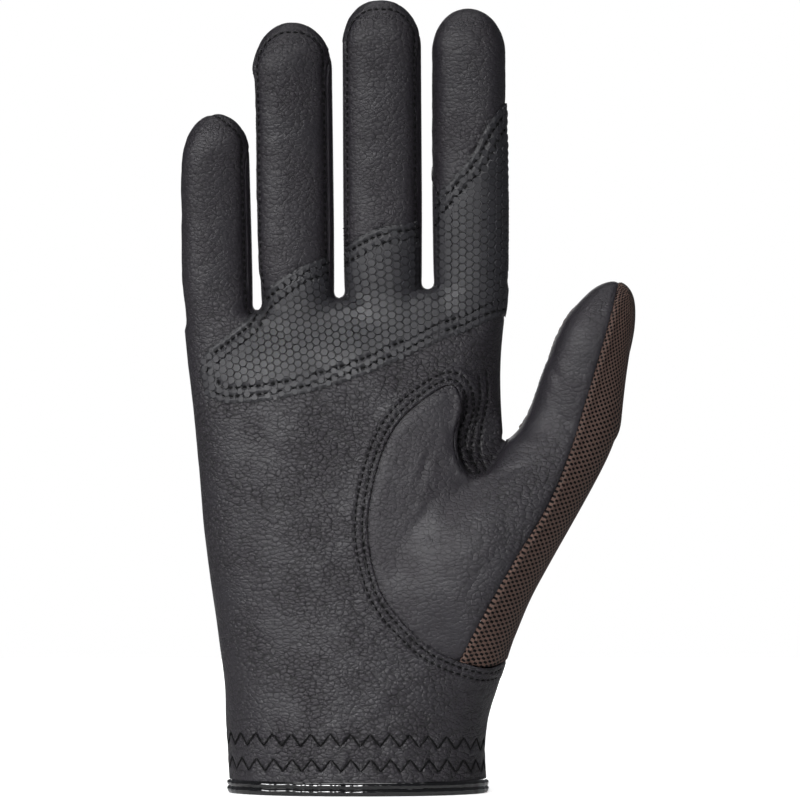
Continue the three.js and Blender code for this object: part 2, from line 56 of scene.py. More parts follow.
# Shape tables, shared with the solids
CUFF_WIDTH, CUFF_DEPTH = 71.6, 43.0
PALM_LENGTH, CROTCH_SLOPE, CROTCH_ROLL = 139.0, 0.125, 4.0
KNUCKLE_SHIFT, KNUCKLE_DEPTH = -3.4, 17.8
THUMB_CROTCH, THUMB_LENGTH, THUMB_REACH = 98.3, 44.8, 77.3
THUMB_WIDTH, THUMB_DEPTH, THUMB_FORWARD = 24.0, 19.5, 5.0
FINGER_CURL, FINGER_SQUARE, THUMB_SQUARE = 5.0, 2.7, 2.4
HEM = 1.6

# name, width at the root and tip, depth, length, lean, space to the finger before it
FINGERS = (
    ("little", 19.4, 17.9, 16.8, 55.2, -0.7, 0.0),
    ("ring", 20.9, 21.5, 18.2, 78.2, -1.3, 1.9),
    ("middle", 22.2, 21.9, 18.8, 81.6, -0.4, 2.3),
    ("index", 20.8, 20.4, 18.4, 76.1, -0.6, 2.8),
)
FINGER_TURN = (1.5, 1.5, 0.5, -0.3)  # how far each finger's left edge is raised over its right
FINGER_ROWS = (
    "up wide deep",
    (-0.34, 0.62, 0.72), (-0.14, 0.86, 0.92), (0.0, 0.98, 1.0), (0.3, 1.0, 0.97),
    (0.6, 1.0, 0.92), (1.0, 1.0, 0.84),
)
PALM_ROWS = (
    "up left right front back tilt square",
    (0.00, 0.00, 0.06, 0.00, 0.00, 0.0, 2.2), (0.10, 0.05, -0.10, 0.05, 0.06, 0.0, 2.25),
    (0.16, 0.08, 0.14, 0.09, 0.12, 0.0, 2.3), (0.19, 0.10, 0.38, 0.11, 0.16, 0.0, 2.33),
    (0.22, 0.12, 0.62, 0.13, 0.20, 0.0, 2.35), (0.25, 0.16, 0.86, 0.155, 0.24, 0.0, 2.37),
    (0.29, 0.22, 1.05, 0.19, 0.30, 0.0, 2.4), (0.40, 0.39, 1.05, 0.28, 0.42, 0.0, 2.5),
    (0.52, 0.56, 1.02, 0.38, 0.52, 0.1, 2.6), (0.66, 0.67, 0.90, 0.47, 0.60, 0.3, 2.7),
    (0.79, 0.80, 0.68, 0.58, 0.66, 0.6, 2.8), (0.89, 0.90, 0.74, 0.74, 0.78, 0.85, 3.0),
    (0.97, 0.98, 0.92, 0.98, 0.98, 1.0, 3.2), (1.06, 0.98, 0.92, 0.98, 0.98, 1.0, 3.2),
)
THUMB_ROWS = (
    "up out wide front back lean",
    (0.34, -0.06, 0.70, 1.40, 0.95, 0.0), (0.44, 0.06, 1.24, 1.84, 1.28, 0.0),
    (0.55, 0.18, 1.62, 1.99, 1.42, 0.0), (0.68, 0.38, 1.80, 1.95, 1.42, 0.0),
    (0.82, 0.60, 1.66, 1.70, 1.32, 0.0), (0.92, 0.75, 1.42, 1.40, 1.20, 0.05),
    (1.00, 0.855, 1.27, 1.18, 1.10, 0.12), (1.08, 0.895, 1.17, 1.08, 1.04, 0.2),
    (1.22, 0.91, 1.06, 1.03, 1.01, 0.4), (1.40, 0.935, 0.985, 1.00, 1.00, 0.6),
    (1.62, 0.975, 0.885, 0.96, 0.96, 0.8), (1.79, 1.00, 0.76, 0.96, 0.96, 0.95),
    (1.91, 0.995, 0.57, 0.96, 0.96, 1.0), (2.0, 0.94, 0.3, 0.96, 0.96, 1.0),
)
THUMB_TIP = (1.55, 0.45)  # where its rounded tip starts, and how long that is, in thumb lengths
POCKET_ROWS = (
    "up left right floor",
    (0.88, 0.82, 0.835, 1.1), (0.897, 0.775, 0.852, 0.6), (0.925, 0.712, 0.895, 0.3),
    (0.955, 0.678, 0.94, 0.12), (0.985, 0.658, 0.985, 0.05), (1.035, 0.668, 1.04, 0.05),
    (1.065, 0.69, 1.04, 0.1), (1.09, 0.706, 1.04, 0.2), (1.13, 0.715, 1.04, 0.45),
    (1.17, 0.74, 1.04, 0.7), (1.22, 0.8, 1.04, 1.1),
)
BEVEL_ROWS = (
    "up start drop",
    (0.84, 0.9, 1.0), (0.9, 0.72, 0.0), (1.0, 0.68, 0.0), (1.1, 0.70, 0.0), (1.18, 0.735, 0.0),
    (1.26, 0.77, 0.0), (1.32, 0.80, 0.25), (1.42, 0.86, 1.0),
)
OVAL_ROWS = (
    (0.99, 1.00), (0.915, 0.94), (0.84, 0.905), (0.765, 0.897), (0.69, 0.925), (0.64, 0.985),
    (0.65, 1.035), (0.695, 1.09), (0.675, 1.138), (0.615, 1.16), (0.485, 1.133), (0.295, 1.065),
    (0.17, 0.975), (0.085, 0.837), (0.073, 0.718), (0.157, 0.576), (0.33, 0.478), (0.54, 0.405),
    (0.83, 0.362), (1.02, 0.376),
)
BACK_OVAL_ROWS = (
    (0.99, 1.00), (0.86, 0.87), (0.78, 0.73), (0.79, 0.57), (0.87, 0.43), (1.02, 0.376),
)
PARTING_ROWS = ((4, 150), (4, 12), (1, 4))
THUMB_SEAM_ROWS = (
    (0.955, 2.08), (0.902, 1.725), (0.862, 1.48), (0.819, 1.237), (0.765, 0.971),
    (0.688, 0.823), (0.558, 0.655), (0.435, 0.484), (0.345, 0.345),
)
PATCH_TOP_ROWS = (
    (-0.898, 0.84), (-0.868, 0.884), (-0.732, 0.921), (-0.616, 0.953), (-0.525, 0.999),
    (-0.304, 1.052), (-0.083, 1.083), (0.179, 1.132), (0.444, 1.15), (0.522, 1.186),
    (0.761, 1.273), (0.872, 1.34), (0.99, 1.388), (1.1, 1.4),
)
PATCH_BOTTOM_ROWS = (
    (1.1, 0.955), (0.964, 0.957), (0.774, 0.932), (0.57, 0.906), (0.186, 0.849),
    (-0.046, 0.822), (-0.365, 0.795), (-0.702, 0.783), (-0.85, 0.796),
)


# Numbers
def ease(low: Any, high: Any, value: Any) -> Any:
    """A smooth step from 0 to 1.

    Args:
        low: Where it starts.
        high: Where it ends.
        value: Where it is read.

    Returns:
        The step's height there.
    """
    share = np.clip((value - low) / (high - low), 0.0, 1.0)
    return share * share * (3.0 - 2.0 * share)


def fade(low: Any, high: Any, value: Any) -> Any:
    """A smooth step from 1 to 0."""
    return 1.0 - ease(low, high, value)


def mix(start: Any, end: Any, share: Any) -> Any:
    """The value a share of the way from start to end."""
    return start + (end - start) * share


def ridge(value: Any, centre: float, width: float) -> Any:
    """A smooth bump of height 1 round a centre."""
    return np.exp(-(((value - centre) / width) ** 2))


def blend_low(first: Array, second: Array, reach: Any) -> Array:
    """The lower of two fields, with their corner rounded.

    Args:
        first: One field.
        second: The other field.
        reach: How far the rounding goes, in millimetres.

    Returns:
        The joined field.
    """
    share = np.maximum(reach - np.abs(first - second), 0.0) / reach
    return np.minimum(first, second) - share * share * reach * 0.25


def swell(points: Array, size: tuple[float, float, float], seed: int) -> Array:
    """Smooth random heights in space.

    Args:
        points: Where they are read.
        size: How far apart the random heights are along each axis.
        seed: Which set of heights.

    Returns:
        Heights from -1 to 1.
    """
    table = np.random.default_rng(seed).uniform(-1, 1, 4096)
    place = points / np.array(size)
    cell = np.floor(place).astype(np.int64)
    share = place - cell
    share = share * share * (3 - 2 * share)
    total = np.zeros(len(points))
    for corner in np.ndindex(2, 2, 2):
        step = cell + np.array(corner)
        key = (step[:, 0] * 73856093 ^ step[:, 1] * 19349663 ^ step[:, 2] * 83492791) & 4095
        total += table[key] * np.prod(np.where(np.array(corner), share, 1 - share), 1)
    return total


def unit(vectors: Array) -> Array:
    """The same vectors, each of length 1."""
    return vectors / np.maximum(np.linalg.norm(vectors, axis=-1, keepdims=True), 1e-9)


def smooth_line(points: list[tuple[float, float]], steps: int = 240) -> Array:
    """A smooth curve through points, as points close together.

    Args:
        points: The points that it passes.
        steps: How many pieces the curve has.

    Returns:
        Points of the curve, one row each.
    """
    knots = np.array(points, float)
    padded = np.vstack([2 * knots[0] - knots[1], knots, 2 * knots[-1] - knots[-2]])
    place = np.linspace(0, len(knots) - 1, steps + 1)
    first = np.minimum(place.astype(int), len(knots) - 2)
    t = (place - first)[:, None]
    a, b, c, d = (padded[first + i] for i in range(4))
    return 0.5 * (
        2 * b + (c - a) * t + (2 * a - 5 * b + 4 * c - d) * t**2 + (3 * b - a - 3 * c + d) * t**3
    )


def run_of(points: Array) -> Array:
    """How far along a line each of its points is."""
    return np.concatenate([[0.0], np.cumsum(np.linalg.norm(np.diff(points, axis=0), axis=1))])


def read_along(stops: Array, run: Array, values: Array) -> Array:
    """A line's three columns of values, read at stops along it."""
    return np.stack([np.interp(stops, run, values[:, k]) for k in range(3)], 1)


def offset_line(points: Array, distance: float) -> Array:
    """A flat line moved to its left by a distance, evened out where it would fold.

    Args:
        points: The line, two columns.
        distance: How far it moves.

    Returns:
        The moved line.
    """
    along = unit(np.gradient(points, axis=0))
    moved = points + distance * np.stack([-along[:, 1], along[:, 0]], 1)
    keep = edge_distance(moved, points) > abs(distance) * 0.93
    return moved[keep]


def edge_distance(points: Array, line: Array) -> Array:
    """How far flat points lie from a run of segments.

    Args:
        points: The points, two columns.
        line: The ends of the segments in order, two columns.

    Returns:
        One distance for each point.
    """
    start, step = line[:-1], np.diff(line, axis=0)
    length = np.maximum((step**2).sum(1), 1e-12)
    best = np.full(len(points), np.inf)
    for first in range(0, len(points), 8000):
        part = points[first : first + 8000, None, :] - start[None]
        share = np.clip((part * step).sum(2) / length, 0, 1)
        away = part - share[..., None] * step
        best[first : first + 8000] = np.sqrt((away**2).sum(2)).min(1)
    return best


def outline_field(points: Array, outline: Array) -> Array:
    """The distance of flat points from a closed outline, above zero inside it.

    Args:
        points: The points, two columns.
        outline: The outline's corners, two columns.

    Returns:
        One signed distance for each point.
    """
    closed = np.vstack([outline, outline[:1]])
    inside = np.zeros(len(points), bool)
    for (x0, z0), (x1, z1) in zip(closed[:-1], closed[1:]):
        if z0 != z1:
            spans = (points[:, 1] < z0) != (points[:, 1] < z1)
            inside ^= spans & (points[:, 0] < x0 + (points[:, 1] - z0) * (x1 - x0) / (z1 - z0))
    return np.where(inside, 1.0, -1.0) * edge_distance(points, closed)


class Table:
    """Rows of shares by height, read smoothly between the rows."""

    def __init__(self, rows: tuple, blur: float = 0.0) -> None:
        """Reads the rows.

        Args:
            rows: The columns' names, then the rows, the height first.
            blur: How far the corners between rows are rounded, in the height's unit.
        """
        names = rows[0].split()
        data = np.array(rows[1:], float)
        self.up = np.linspace(data[0, 0], data[-1, 0], 1500)
        step = self.up[1] - self.up[0]
        self.lines: dict[str, Array] = {}
        for name, column in zip(names[1:], data.T[1:]):
            line = np.interp(self.up, data[:, 0], column)
            if blur:
                reach = int(3 * blur / step)
                kernel = np.exp(-0.5 * (np.arange(-reach, reach + 1) * step / blur) ** 2)
                padded = np.pad(line, reach, mode="reflect", reflect_type="odd")
                line = np.convolve(padded, kernel / kernel.sum(), "valid")
            self.lines[name] = line

    def at(self, up: Array) -> dict[str, Array]:
        """The row at each height, by column name."""
        return {name: np.interp(up, self.up, line) for name, line in self.lines.items()}


@dataclass
class Section:
    """A rounded section across the hand, for one height or an array of heights."""

    middle: Any
    half: Any
    front: Any
    back: Any
    centre: Any
    square: Any

    def distance(self, x: Array, y: Array, rise: Any = 0.0, steep: float = 0.0) -> Array:
        """Roughly how far points are outside the section, below zero inside.

        Args:
            x: The points' places across.
            y: Their depths.
            rise: How far up a rounded end they are, as a share of its height.
            steep: One over that height.

        Returns:
            The distances in millimetres.
        """
        u = np.abs(x - self.middle) / self.half
        depth = np.where(y < self.centre, self.front, self.back)
        v = np.abs(y - self.centre) / depth
        size = np.maximum((u**self.square + v**self.square) ** (1.0 / self.square), 0.05)
        across = (u / size) ** (self.square - 1) / self.half
        deep = (v / size) ** (self.square - 1) / depth
        whole = np.sqrt(size * size + rise * rise)
        slope = np.sqrt(size**2 * (across**2 + deep**2) + (rise * steep) ** 2) / whole
        return (whole - 1.0) / np.maximum(slope, 0.01)


@dataclass
class Finger:
    """One finger's sizes and place."""

    name: str
    root: float
    tip: float
    depth: float
    length: float
    lean: float
    centre: float
    stretch: float = 1.2  # the rounded tip's height as a share of the half width

    @property
    def foot(self) -> float:
        """The height of its root."""
        return PALM_LENGTH + CROTCH_SLOPE * self.centre

    @property
    def top(self) -> float:
        """The height of its tip."""
        return self.foot + self.length

    @property
    def dome(self) -> float:
        """The height of its rounded tip."""
        return self.stretch * self.tip / 2


@dataclass
class HandForm:
    """The glove's outer surface, as a field that is zero on it and below zero inside."""

    fingers: list[Finger] = field(default_factory=list)
    web_round: float = 2.2
    thumb_round: float = 9.0
    pocket_round: float = 1.3
    pocket_fall: float = 0.3  # how the pocket's floor deepens to the right
    bevel_depth: float = 11.0
    bevel_lift: float = 9.0  # how far the slant stands off where it isn't cut
    bevel_round: float = 3.0
    finger_root: float = 0.34  # how far a finger reaches into the palm, of its length
    thumb_root: float = 0.34  # where the thumb's form starts, of its crotch's height
    thumb_join: tuple[float, float, float, float] = (42.0, 68.0, 74.0, 96.0)
    thumb_close: float = 2.0  # the thumb's rounding outside those heights

    def __post_init__(self) -> None:
        """Sets out the row of fingers and reads the tables."""
        total = sum(row[1] + row[6] for row in FINGERS)
        self.left, self.right = KNUCKLE_SHIFT - total / 2, KNUCKLE_SHIFT + total / 2
        edge = self.left
        for name, root, tip, depth, length, lean, gap in FINGERS:
            centre = edge + gap + root / 2
            edge = centre + root / 2
            self.fingers.append(Finger(name, root, tip, depth, length, lean, centre))
        self.finger_table = Table(FINGER_ROWS, 0.05)
        self.palm_table = Table(PALM_ROWS, 0.018)
        self.thumb_table = Table(THUMB_ROWS, 0.035)
        self.pocket_table = Table(POCKET_ROWS, 0.008)
        self.bevel_table = Table(BEVEL_ROWS, 0.02)

    def finger_section(self, finger: Finger, z: Array) -> Section:
        """A finger's section at a height, its rounded tip left out.

        Args:
            finger: The finger.
            z: The heights.

        Returns:
            Its section at each.
        """
        up = (z - finger.foot) / finger.length
        row = self.finger_table.at(up)
        along = np.clip(up, 0, 1)
        half = row["wide"] * mix(finger.root, finger.tip, along) / 2
        depth = finger.depth * row["deep"] / 2
        middle = finger.centre + finger.lean * along
        return Section(middle, half, depth, depth, -FINGER_CURL * along**2, FINGER_SQUARE)

    def finger_field(self, finger: Finger, x: Array, y: Array, z: Array) -> Array:
        """The distance from one finger.

        Args:
            finger: The finger.
            x, y, z: The points' places across, deep and up.

        Returns:
            The distances in millimetres.
        """
        rise = np.maximum(z - (finger.top - finger.dome), 0) / finger.dome
        away = self.finger_section(finger, z).distance(x, y, rise, 1 / finger.dome)
        return np.maximum(away, finger.foot - self.finger_root * finger.length - z)

    def palm_up(self, x: Array, z: Array) -> Array:
        """The share of the palm's length at a place, which tilts towards the crotches.

        Args:
            x: The points' places across.
            z: Their heights.

        Returns:
            The shares.
        """
        up = z / PALM_LENGTH
        for _ in range(3):
            up = (z - self.palm_table.at(up)["tilt"] * CROTCH_SLOPE * x) / PALM_LENGTH
        return up

    def palm_section(self, up: Array) -> Section:
        """The palm's section at a share of its length.

        Args:
            up: The shares of its length.

        Returns:
            Its section at each.
        """
        row = self.palm_table.at(up)
        left = mix(-CUFF_WIDTH / 2, self.left, row["left"])
        right = mix(CUFF_WIDTH / 2, self.right, row["right"])
        front = mix(CUFF_DEPTH / 2, KNUCKLE_DEPTH / 2, row["front"])
        back = mix(CUFF_DEPTH / 2, KNUCKLE_DEPTH / 2, row["back"])
        return Section((left + right) / 2, (right - left) / 2, front, back, 0.0, row["square"])

    def palm_field(self, x: Array, y: Array, z: Array) -> Array:
        """The distance from the palm and cuff.

        Args:
            x, y, z: The points' places across, deep and up.

        Returns:
            The distances in millimetres.
        """
        up = self.palm_up(x, z)
        rise = np.maximum(up * PALM_LENGTH - (PALM_LENGTH - CROTCH_ROLL), 0) / CROTCH_ROLL
        return self.palm_section(up).distance(x, y, rise, 1 / CROTCH_ROLL)

    def thumb_up(self, z: Array) -> Array:
        """The height in the thumb's shares."""
        above = 1 + (z - THUMB_CROTCH) / THUMB_LENGTH
        return np.where(z <= THUMB_CROTCH, z / THUMB_CROTCH, above)

    def thumb_section(self, z: Array) -> Section:
        """The thumb's section at a height, its rounded tip left out.

        Args:
            z: The heights.

        Returns:
            Its section at each.
        """
        up = self.thumb_up(z)
        row = self.thumb_table.at(up)
        wide = self.thumb_table.at(np.minimum(up, THUMB_TIP[0]))["wide"]
        outer = mix(self.right, THUMB_REACH, row["out"])
        middle = outer - row["wide"] * THUMB_WIDTH / 2
        front, back = row["front"] * THUMB_DEPTH / 2, row["back"] * THUMB_DEPTH / 2
        return Section(
            middle, wide * THUMB_WIDTH / 2, front, back, -THUMB_FORWARD * row["lean"], THUMB_SQUARE
        )

    def thumb_field(self, x: Array, y: Array, z: Array) -> Array:
        """The distance from the thumb.

        Args:
            x, y, z: The points' places across, deep and up.

        Returns:
            The distances in millimetres.
        """
        tip = THUMB_TIP[1] * THUMB_LENGTH
        start = THUMB_CROTCH + (THUMB_TIP[0] - 1) * THUMB_LENGTH
        rise = np.maximum(z - start, 0) / tip
        away = self.thumb_section(z).distance(x, y, rise, 1 / tip)
        return np.maximum(away, self.thumb_root * THUMB_CROTCH - z)

    def pocket_field(self, x: Array, y: Array, z: Array) -> Array:
        """The distance from the pocket between the ball of the thumb and the index finger.

        Args:
            x, y, z: The points' places across, deep and up.

        Returns:
            The distances in millimetres.
        """
        up = z / THUMB_CROTCH
        row = self.pocket_table.at(up)
        left, right = row["left"] * self.right, row["right"] * self.right
        floor = -self.palm_section(z / PALM_LENGTH).front * row["floor"]
        floor = floor - self.pocket_fall * (self.right - np.clip(x, left, self.right))
        end = np.maximum(0.88 - up, up - 1.22) * THUMB_CROTCH
        inside = blend_low(blend_low(x - left, right - x, 1.0), floor - y, 1.0)
        return np.maximum(-inside, end)

    def bevel_field(self, x: Array, y: Array, z: Array) -> Array:
        """The distance past the slant at the palm's front right, which turns to the thumb.

        Args:
            x, y, z: The points' places across, deep and up.

        Returns:
            The distances in millimetres.
        """
        row = self.bevel_table.at(z / THUMB_CROTCH)
        front = self.palm_section(z / PALM_LENGTH).front
        start = row["start"] * self.right
        across, deep = self.right - 0.3 - start, self.bevel_depth
        length = np.hypot(across, deep)
        past = ((x - start) * deep - (y + front) * across) / length
        return past - self.bevel_lift * row["drop"]

    def field(self, x: Array, y: Array, z: Array) -> Array:
        """The whole surface's field. x, y and z may be any arrays that fit each other.

        Args:
            x, y, z: The points' places across, deep and up.

        Returns:
            The distances in millimetres.
        """
        palm = self.palm_field(x, y, z)
        whole = palm
        for finger in self.fingers:
            joined = blend_low(self.finger_field(finger, x, y, z), palm, self.web_round)
            whole = np.minimum(whole, joined)
        soft, full, fading, closed = self.thumb_join
        reach = mix(self.thumb_close, self.thumb_round, ease(soft, full, z))
        reach = mix(reach, self.thumb_close, ease(fading, closed, z))
        whole = -blend_low(-whole, -self.bevel_field(x, y, z), self.bevel_round)
        whole = blend_low(whole, self.thumb_field(x, y, z), reach)
        return -blend_low(-whole, self.pocket_field(x, y, z), self.pocket_round)

    def at(self, points: Array) -> Array:
        """The field at points, three columns."""
        return self.field(points[:, 0], points[:, 1], points[:, 2])

    def slope(self, points: Array, step: float = 0.06) -> Array:
        """The field's gradient at points."""
        moves = np.eye(3) * step
        return np.stack([(self.at(points + m) - self.at(points - m)) / (2 * step) for m in moves], 1)

    def seat(self, points: Array, rounds: int = 3) -> tuple[Array, Array]:
        """Moves points onto the surface.

        Args:
            points: Points near it.
            rounds: How many steps they take.

        Returns:
            The moved points and the outward normals there.
        """
        for _ in range(rounds):
            slope = self.slope(points)
            steep = np.maximum((slope**2).sum(1), 0.05)
            move = -self.at(points)[:, None] * slope / steep[:, None]
            length = np.linalg.norm(move, axis=1, keepdims=True)
            points = points + move * np.minimum(1, 0.8 / np.maximum(length, 1e-9))
        return points, unit(self.slope(points))

    def crossing(self, inside: Array, outside: Array) -> Array:
        """The points of the surface between points inside it and points outside it.

        Args:
            inside: Points inside it.
            outside: As many points outside it.

        Returns:
            The points on the surface.
        """
        low, high = np.zeros(len(inside)), np.ones(len(inside))
        for _ in range(26):
            half = (low + high) / 2
            within = self.at(mix(inside, outside, half[:, None])) < 0
            low, high = np.where(within, half, low), np.where(within, high, half)
        return mix(inside, outside, low[:, None])

    def front_of(self, flat: Array, behind: float = 1.0) -> tuple[Array, Array]:
        """Lays a flat line on the palm's side.

        Args:
            flat: The line's points across and up.
            behind: A depth that is inside the hand.

        Returns:
            The points on the surface, and which of the line's points lie on the hand.
        """
        inner = np.stack([flat[:, 0], np.full(len(flat), behind), flat[:, 1]], 1)
        on = self.at(inner) < -0.4
        outer = inner.copy()
        outer[:, 1] = -45.0
        return self.crossing(inner, outer), on


# Seams between the panels
@dataclass
class SeamPlan:
    """Where one panel ends and the next begins, as fields that are zero on the seam."""

    hand: HandForm
    front_share: float = 0.56  # depth of the fingers' front seams, of their half depth
    tip_share: float = 0.16  # the same over the fingertips
    sewn_inset: tuple[float, float] = (0.95, 3.5)  # its stitches' distance, at the sides and tips
    back_share: float = 0.62
    palm_share: float = 0.45
    index_smooth: tuple[float, float] = (166.5, 177.0)  # where the index finger's seam goes behind
    patch_low: float = 95.0  # a height that is under the whole patch

    def __post_init__(self) -> None:
        """Draws the outlines of the oval, the patch and the thumb's seam."""
        scale = np.array([self.hand.right, THUMB_CROTCH])
        self.oval = smooth_line([tuple(scale * row) for row in OVAL_ROWS])
        self.back_oval = smooth_line([tuple(scale * row) for row in BACK_OVAL_ROWS], 80)
        self.thumb_outline = self._thumb_side(self.oval)
        self.back_outline = self._thumb_side(self.back_oval)
        rows = [(a * THUMB_REACH, float(self._thumb_height(u))) for a, u in THUMB_SEAM_ROWS]
        self.thumb_seam = smooth_line(rows, 120)
        self.mesh_outline = np.vstack([self.thumb_seam, [(FAR, 0.0), (FAR, FAR)]])
        half = (self.hand.right - self.hand.left) / 2
        to_place = lambda row: (KNUCKLE_SHIFT + row[0] * half, row[1] * PALM_LENGTH)
        self.patch_top = smooth_line([to_place(row) for row in PATCH_TOP_ROWS])
        self.patch_bottom = smooth_line([to_place(row) for row in PATCH_BOTTOM_ROWS])
        self.patch_outline = np.vstack([self.patch_top, self.patch_bottom])

    def _thumb_height(self, up: float) -> float:
        """The height of a share of the thumb."""
        return up * THUMB_CROTCH if up <= 1 else THUMB_CROTCH + (up - 1) * THUMB_LENGTH

    def _thumb_side(self, line: Array) -> Array:
        """The outline of all that lies on the thumb's side of a line.

        Args:
            line: The line, from the crotch down.

        Returns:
            The outline's corners.
        """
        crotch, lowest = line[0], line[-1]
        parting = [(crotch[0] + right, crotch[1] + above) for right, above in PARTING_ROWS]
        outer = [(FAR, lowest[1]), (FAR, parting[0][1])]
        return np.vstack([line, outer, parting])

    def thumb(self, p: Array) -> Array:
        """Above zero on the thumb's panels.

        Args:
            p: The points.

        Returns:
            One number for each point.
        """
        flat = p[:, [0, 2]]
        near = (p[:, 0] > -4) & (p[:, 2] > 20) & (p[:, 2] < 150)
        value = np.full(len(p), OUTSIDE)
        front = outline_field(flat[near], self.thumb_outline)
        back = outline_field(flat[near], self.back_outline)
        value[near] = mix(front, back, ease(2.0, 9.0, p[near, 1]))
        return value

    def thumb_mesh(self, p: Array) -> Array:
        """Above zero on the thumb's knitted mesh.

        Args:
            p: The points.

        Returns:
            One number for each point.
        """
        right = outline_field(p[:, [0, 2]], self.mesh_outline)
        section = self.hand.thumb_section(p[:, 2])
        return np.maximum(right, p[:, 1] - (section.centre + 0.3 * section.back))

    def _finger_edges(self, p: Array) -> tuple[Array, Array, Array]:
        """The depths of the front, back and sewn lines at points, as if all were on the fingers.

        Args:
            p: The points.

        Returns:
            The three depths at each point.
        """
        x, z = p[:, 0], p[:, 2]
        front, back, sewn = np.zeros(len(p)), np.zeros(len(p)), np.zeros(len(p))
        best = np.full(len(p), np.inf)
        for number, finger in enumerate(self.hand.fingers):
            section = self.hand.finger_section(finger, z)
            tip = ease(finger.top - 17, finger.top - 6, z)
            edge = -mix(self.front_share, self.tip_share, tip)
            rear = mix(self.back_share, -self.tip_share, tip)
            left_edge = right_edge = edge
            left_rear = right_rear = rear
            plain = np.full(len(p), self.back_share)
            if number == 0:
                left_edge = left_rear = plain
            if number == len(self.hand.fingers) - 1:
                right_edge = right_rear = left_rear = plain
                left_edge = mix(edge, plain, ease(*self.index_smooth, z))
            share = ease(-0.5, 0.5, (x - section.middle) / section.half)
            apart = np.abs(x - section.middle) - section.half
            nearer = apart < best
            best = np.where(nearer, apart, best)
            base = section.centre
            front = np.where(nearer, base + mix(left_edge, right_edge, share) * section.back, front)
            back = np.where(nearer, base + mix(left_rear, right_rear, share) * section.back, back)
            sewn = np.where(nearer, front - mix(*self.sewn_inset, tip), sewn)
        return front, back, sewn

    def edges(self, p: Array) -> tuple[Array, Array]:
        """The depths of the leather's front seam and the mesh's back seam at points.

        Args:
            p: The points.

        Returns:
            The two depths at each point.
        """
        front, back, _ = self._finger_edges(p)
        up = self.hand.palm_up(p[:, 0], p[:, 2])
        share = mix(self.palm_share, self.back_share, np.clip(up, 0, 1))
        palm = share * self.hand.palm_section(up).back
        weight = ease(PALM_LENGTH - 4.5, PALM_LENGTH - 1.5, up * PALM_LENGTH)
        return mix(palm, front, weight), mix(palm, back, weight)

    def sewn(self, p: Array) -> Array:
        """The depth of the stitches along the fingers' front seams at points."""
        return self._finger_edges(p)[2]

    def back(self, p: Array) -> Array:
        """Above zero on the mesh of the back."""
        return p[:, 1] - self.edges(p)[1]

    def strip(self, p: Array) -> Array:
        """Above zero on the strips between the fingers."""
        front, back = self.edges(p)
        return np.minimum(p[:, 1] - front, back - p[:, 1])

    def patch(self, p: Array) -> Array:
        """Above zero on the grip patch.

        Args:
            p: The points.

        Returns:
            One number for each point.
        """
        value = np.full(len(p), OUTSIDE)
        near = p[:, 2] > self.patch_low
        value[near] = outline_field(p[near][:, [0, 2]], self.patch_outline)
        return value


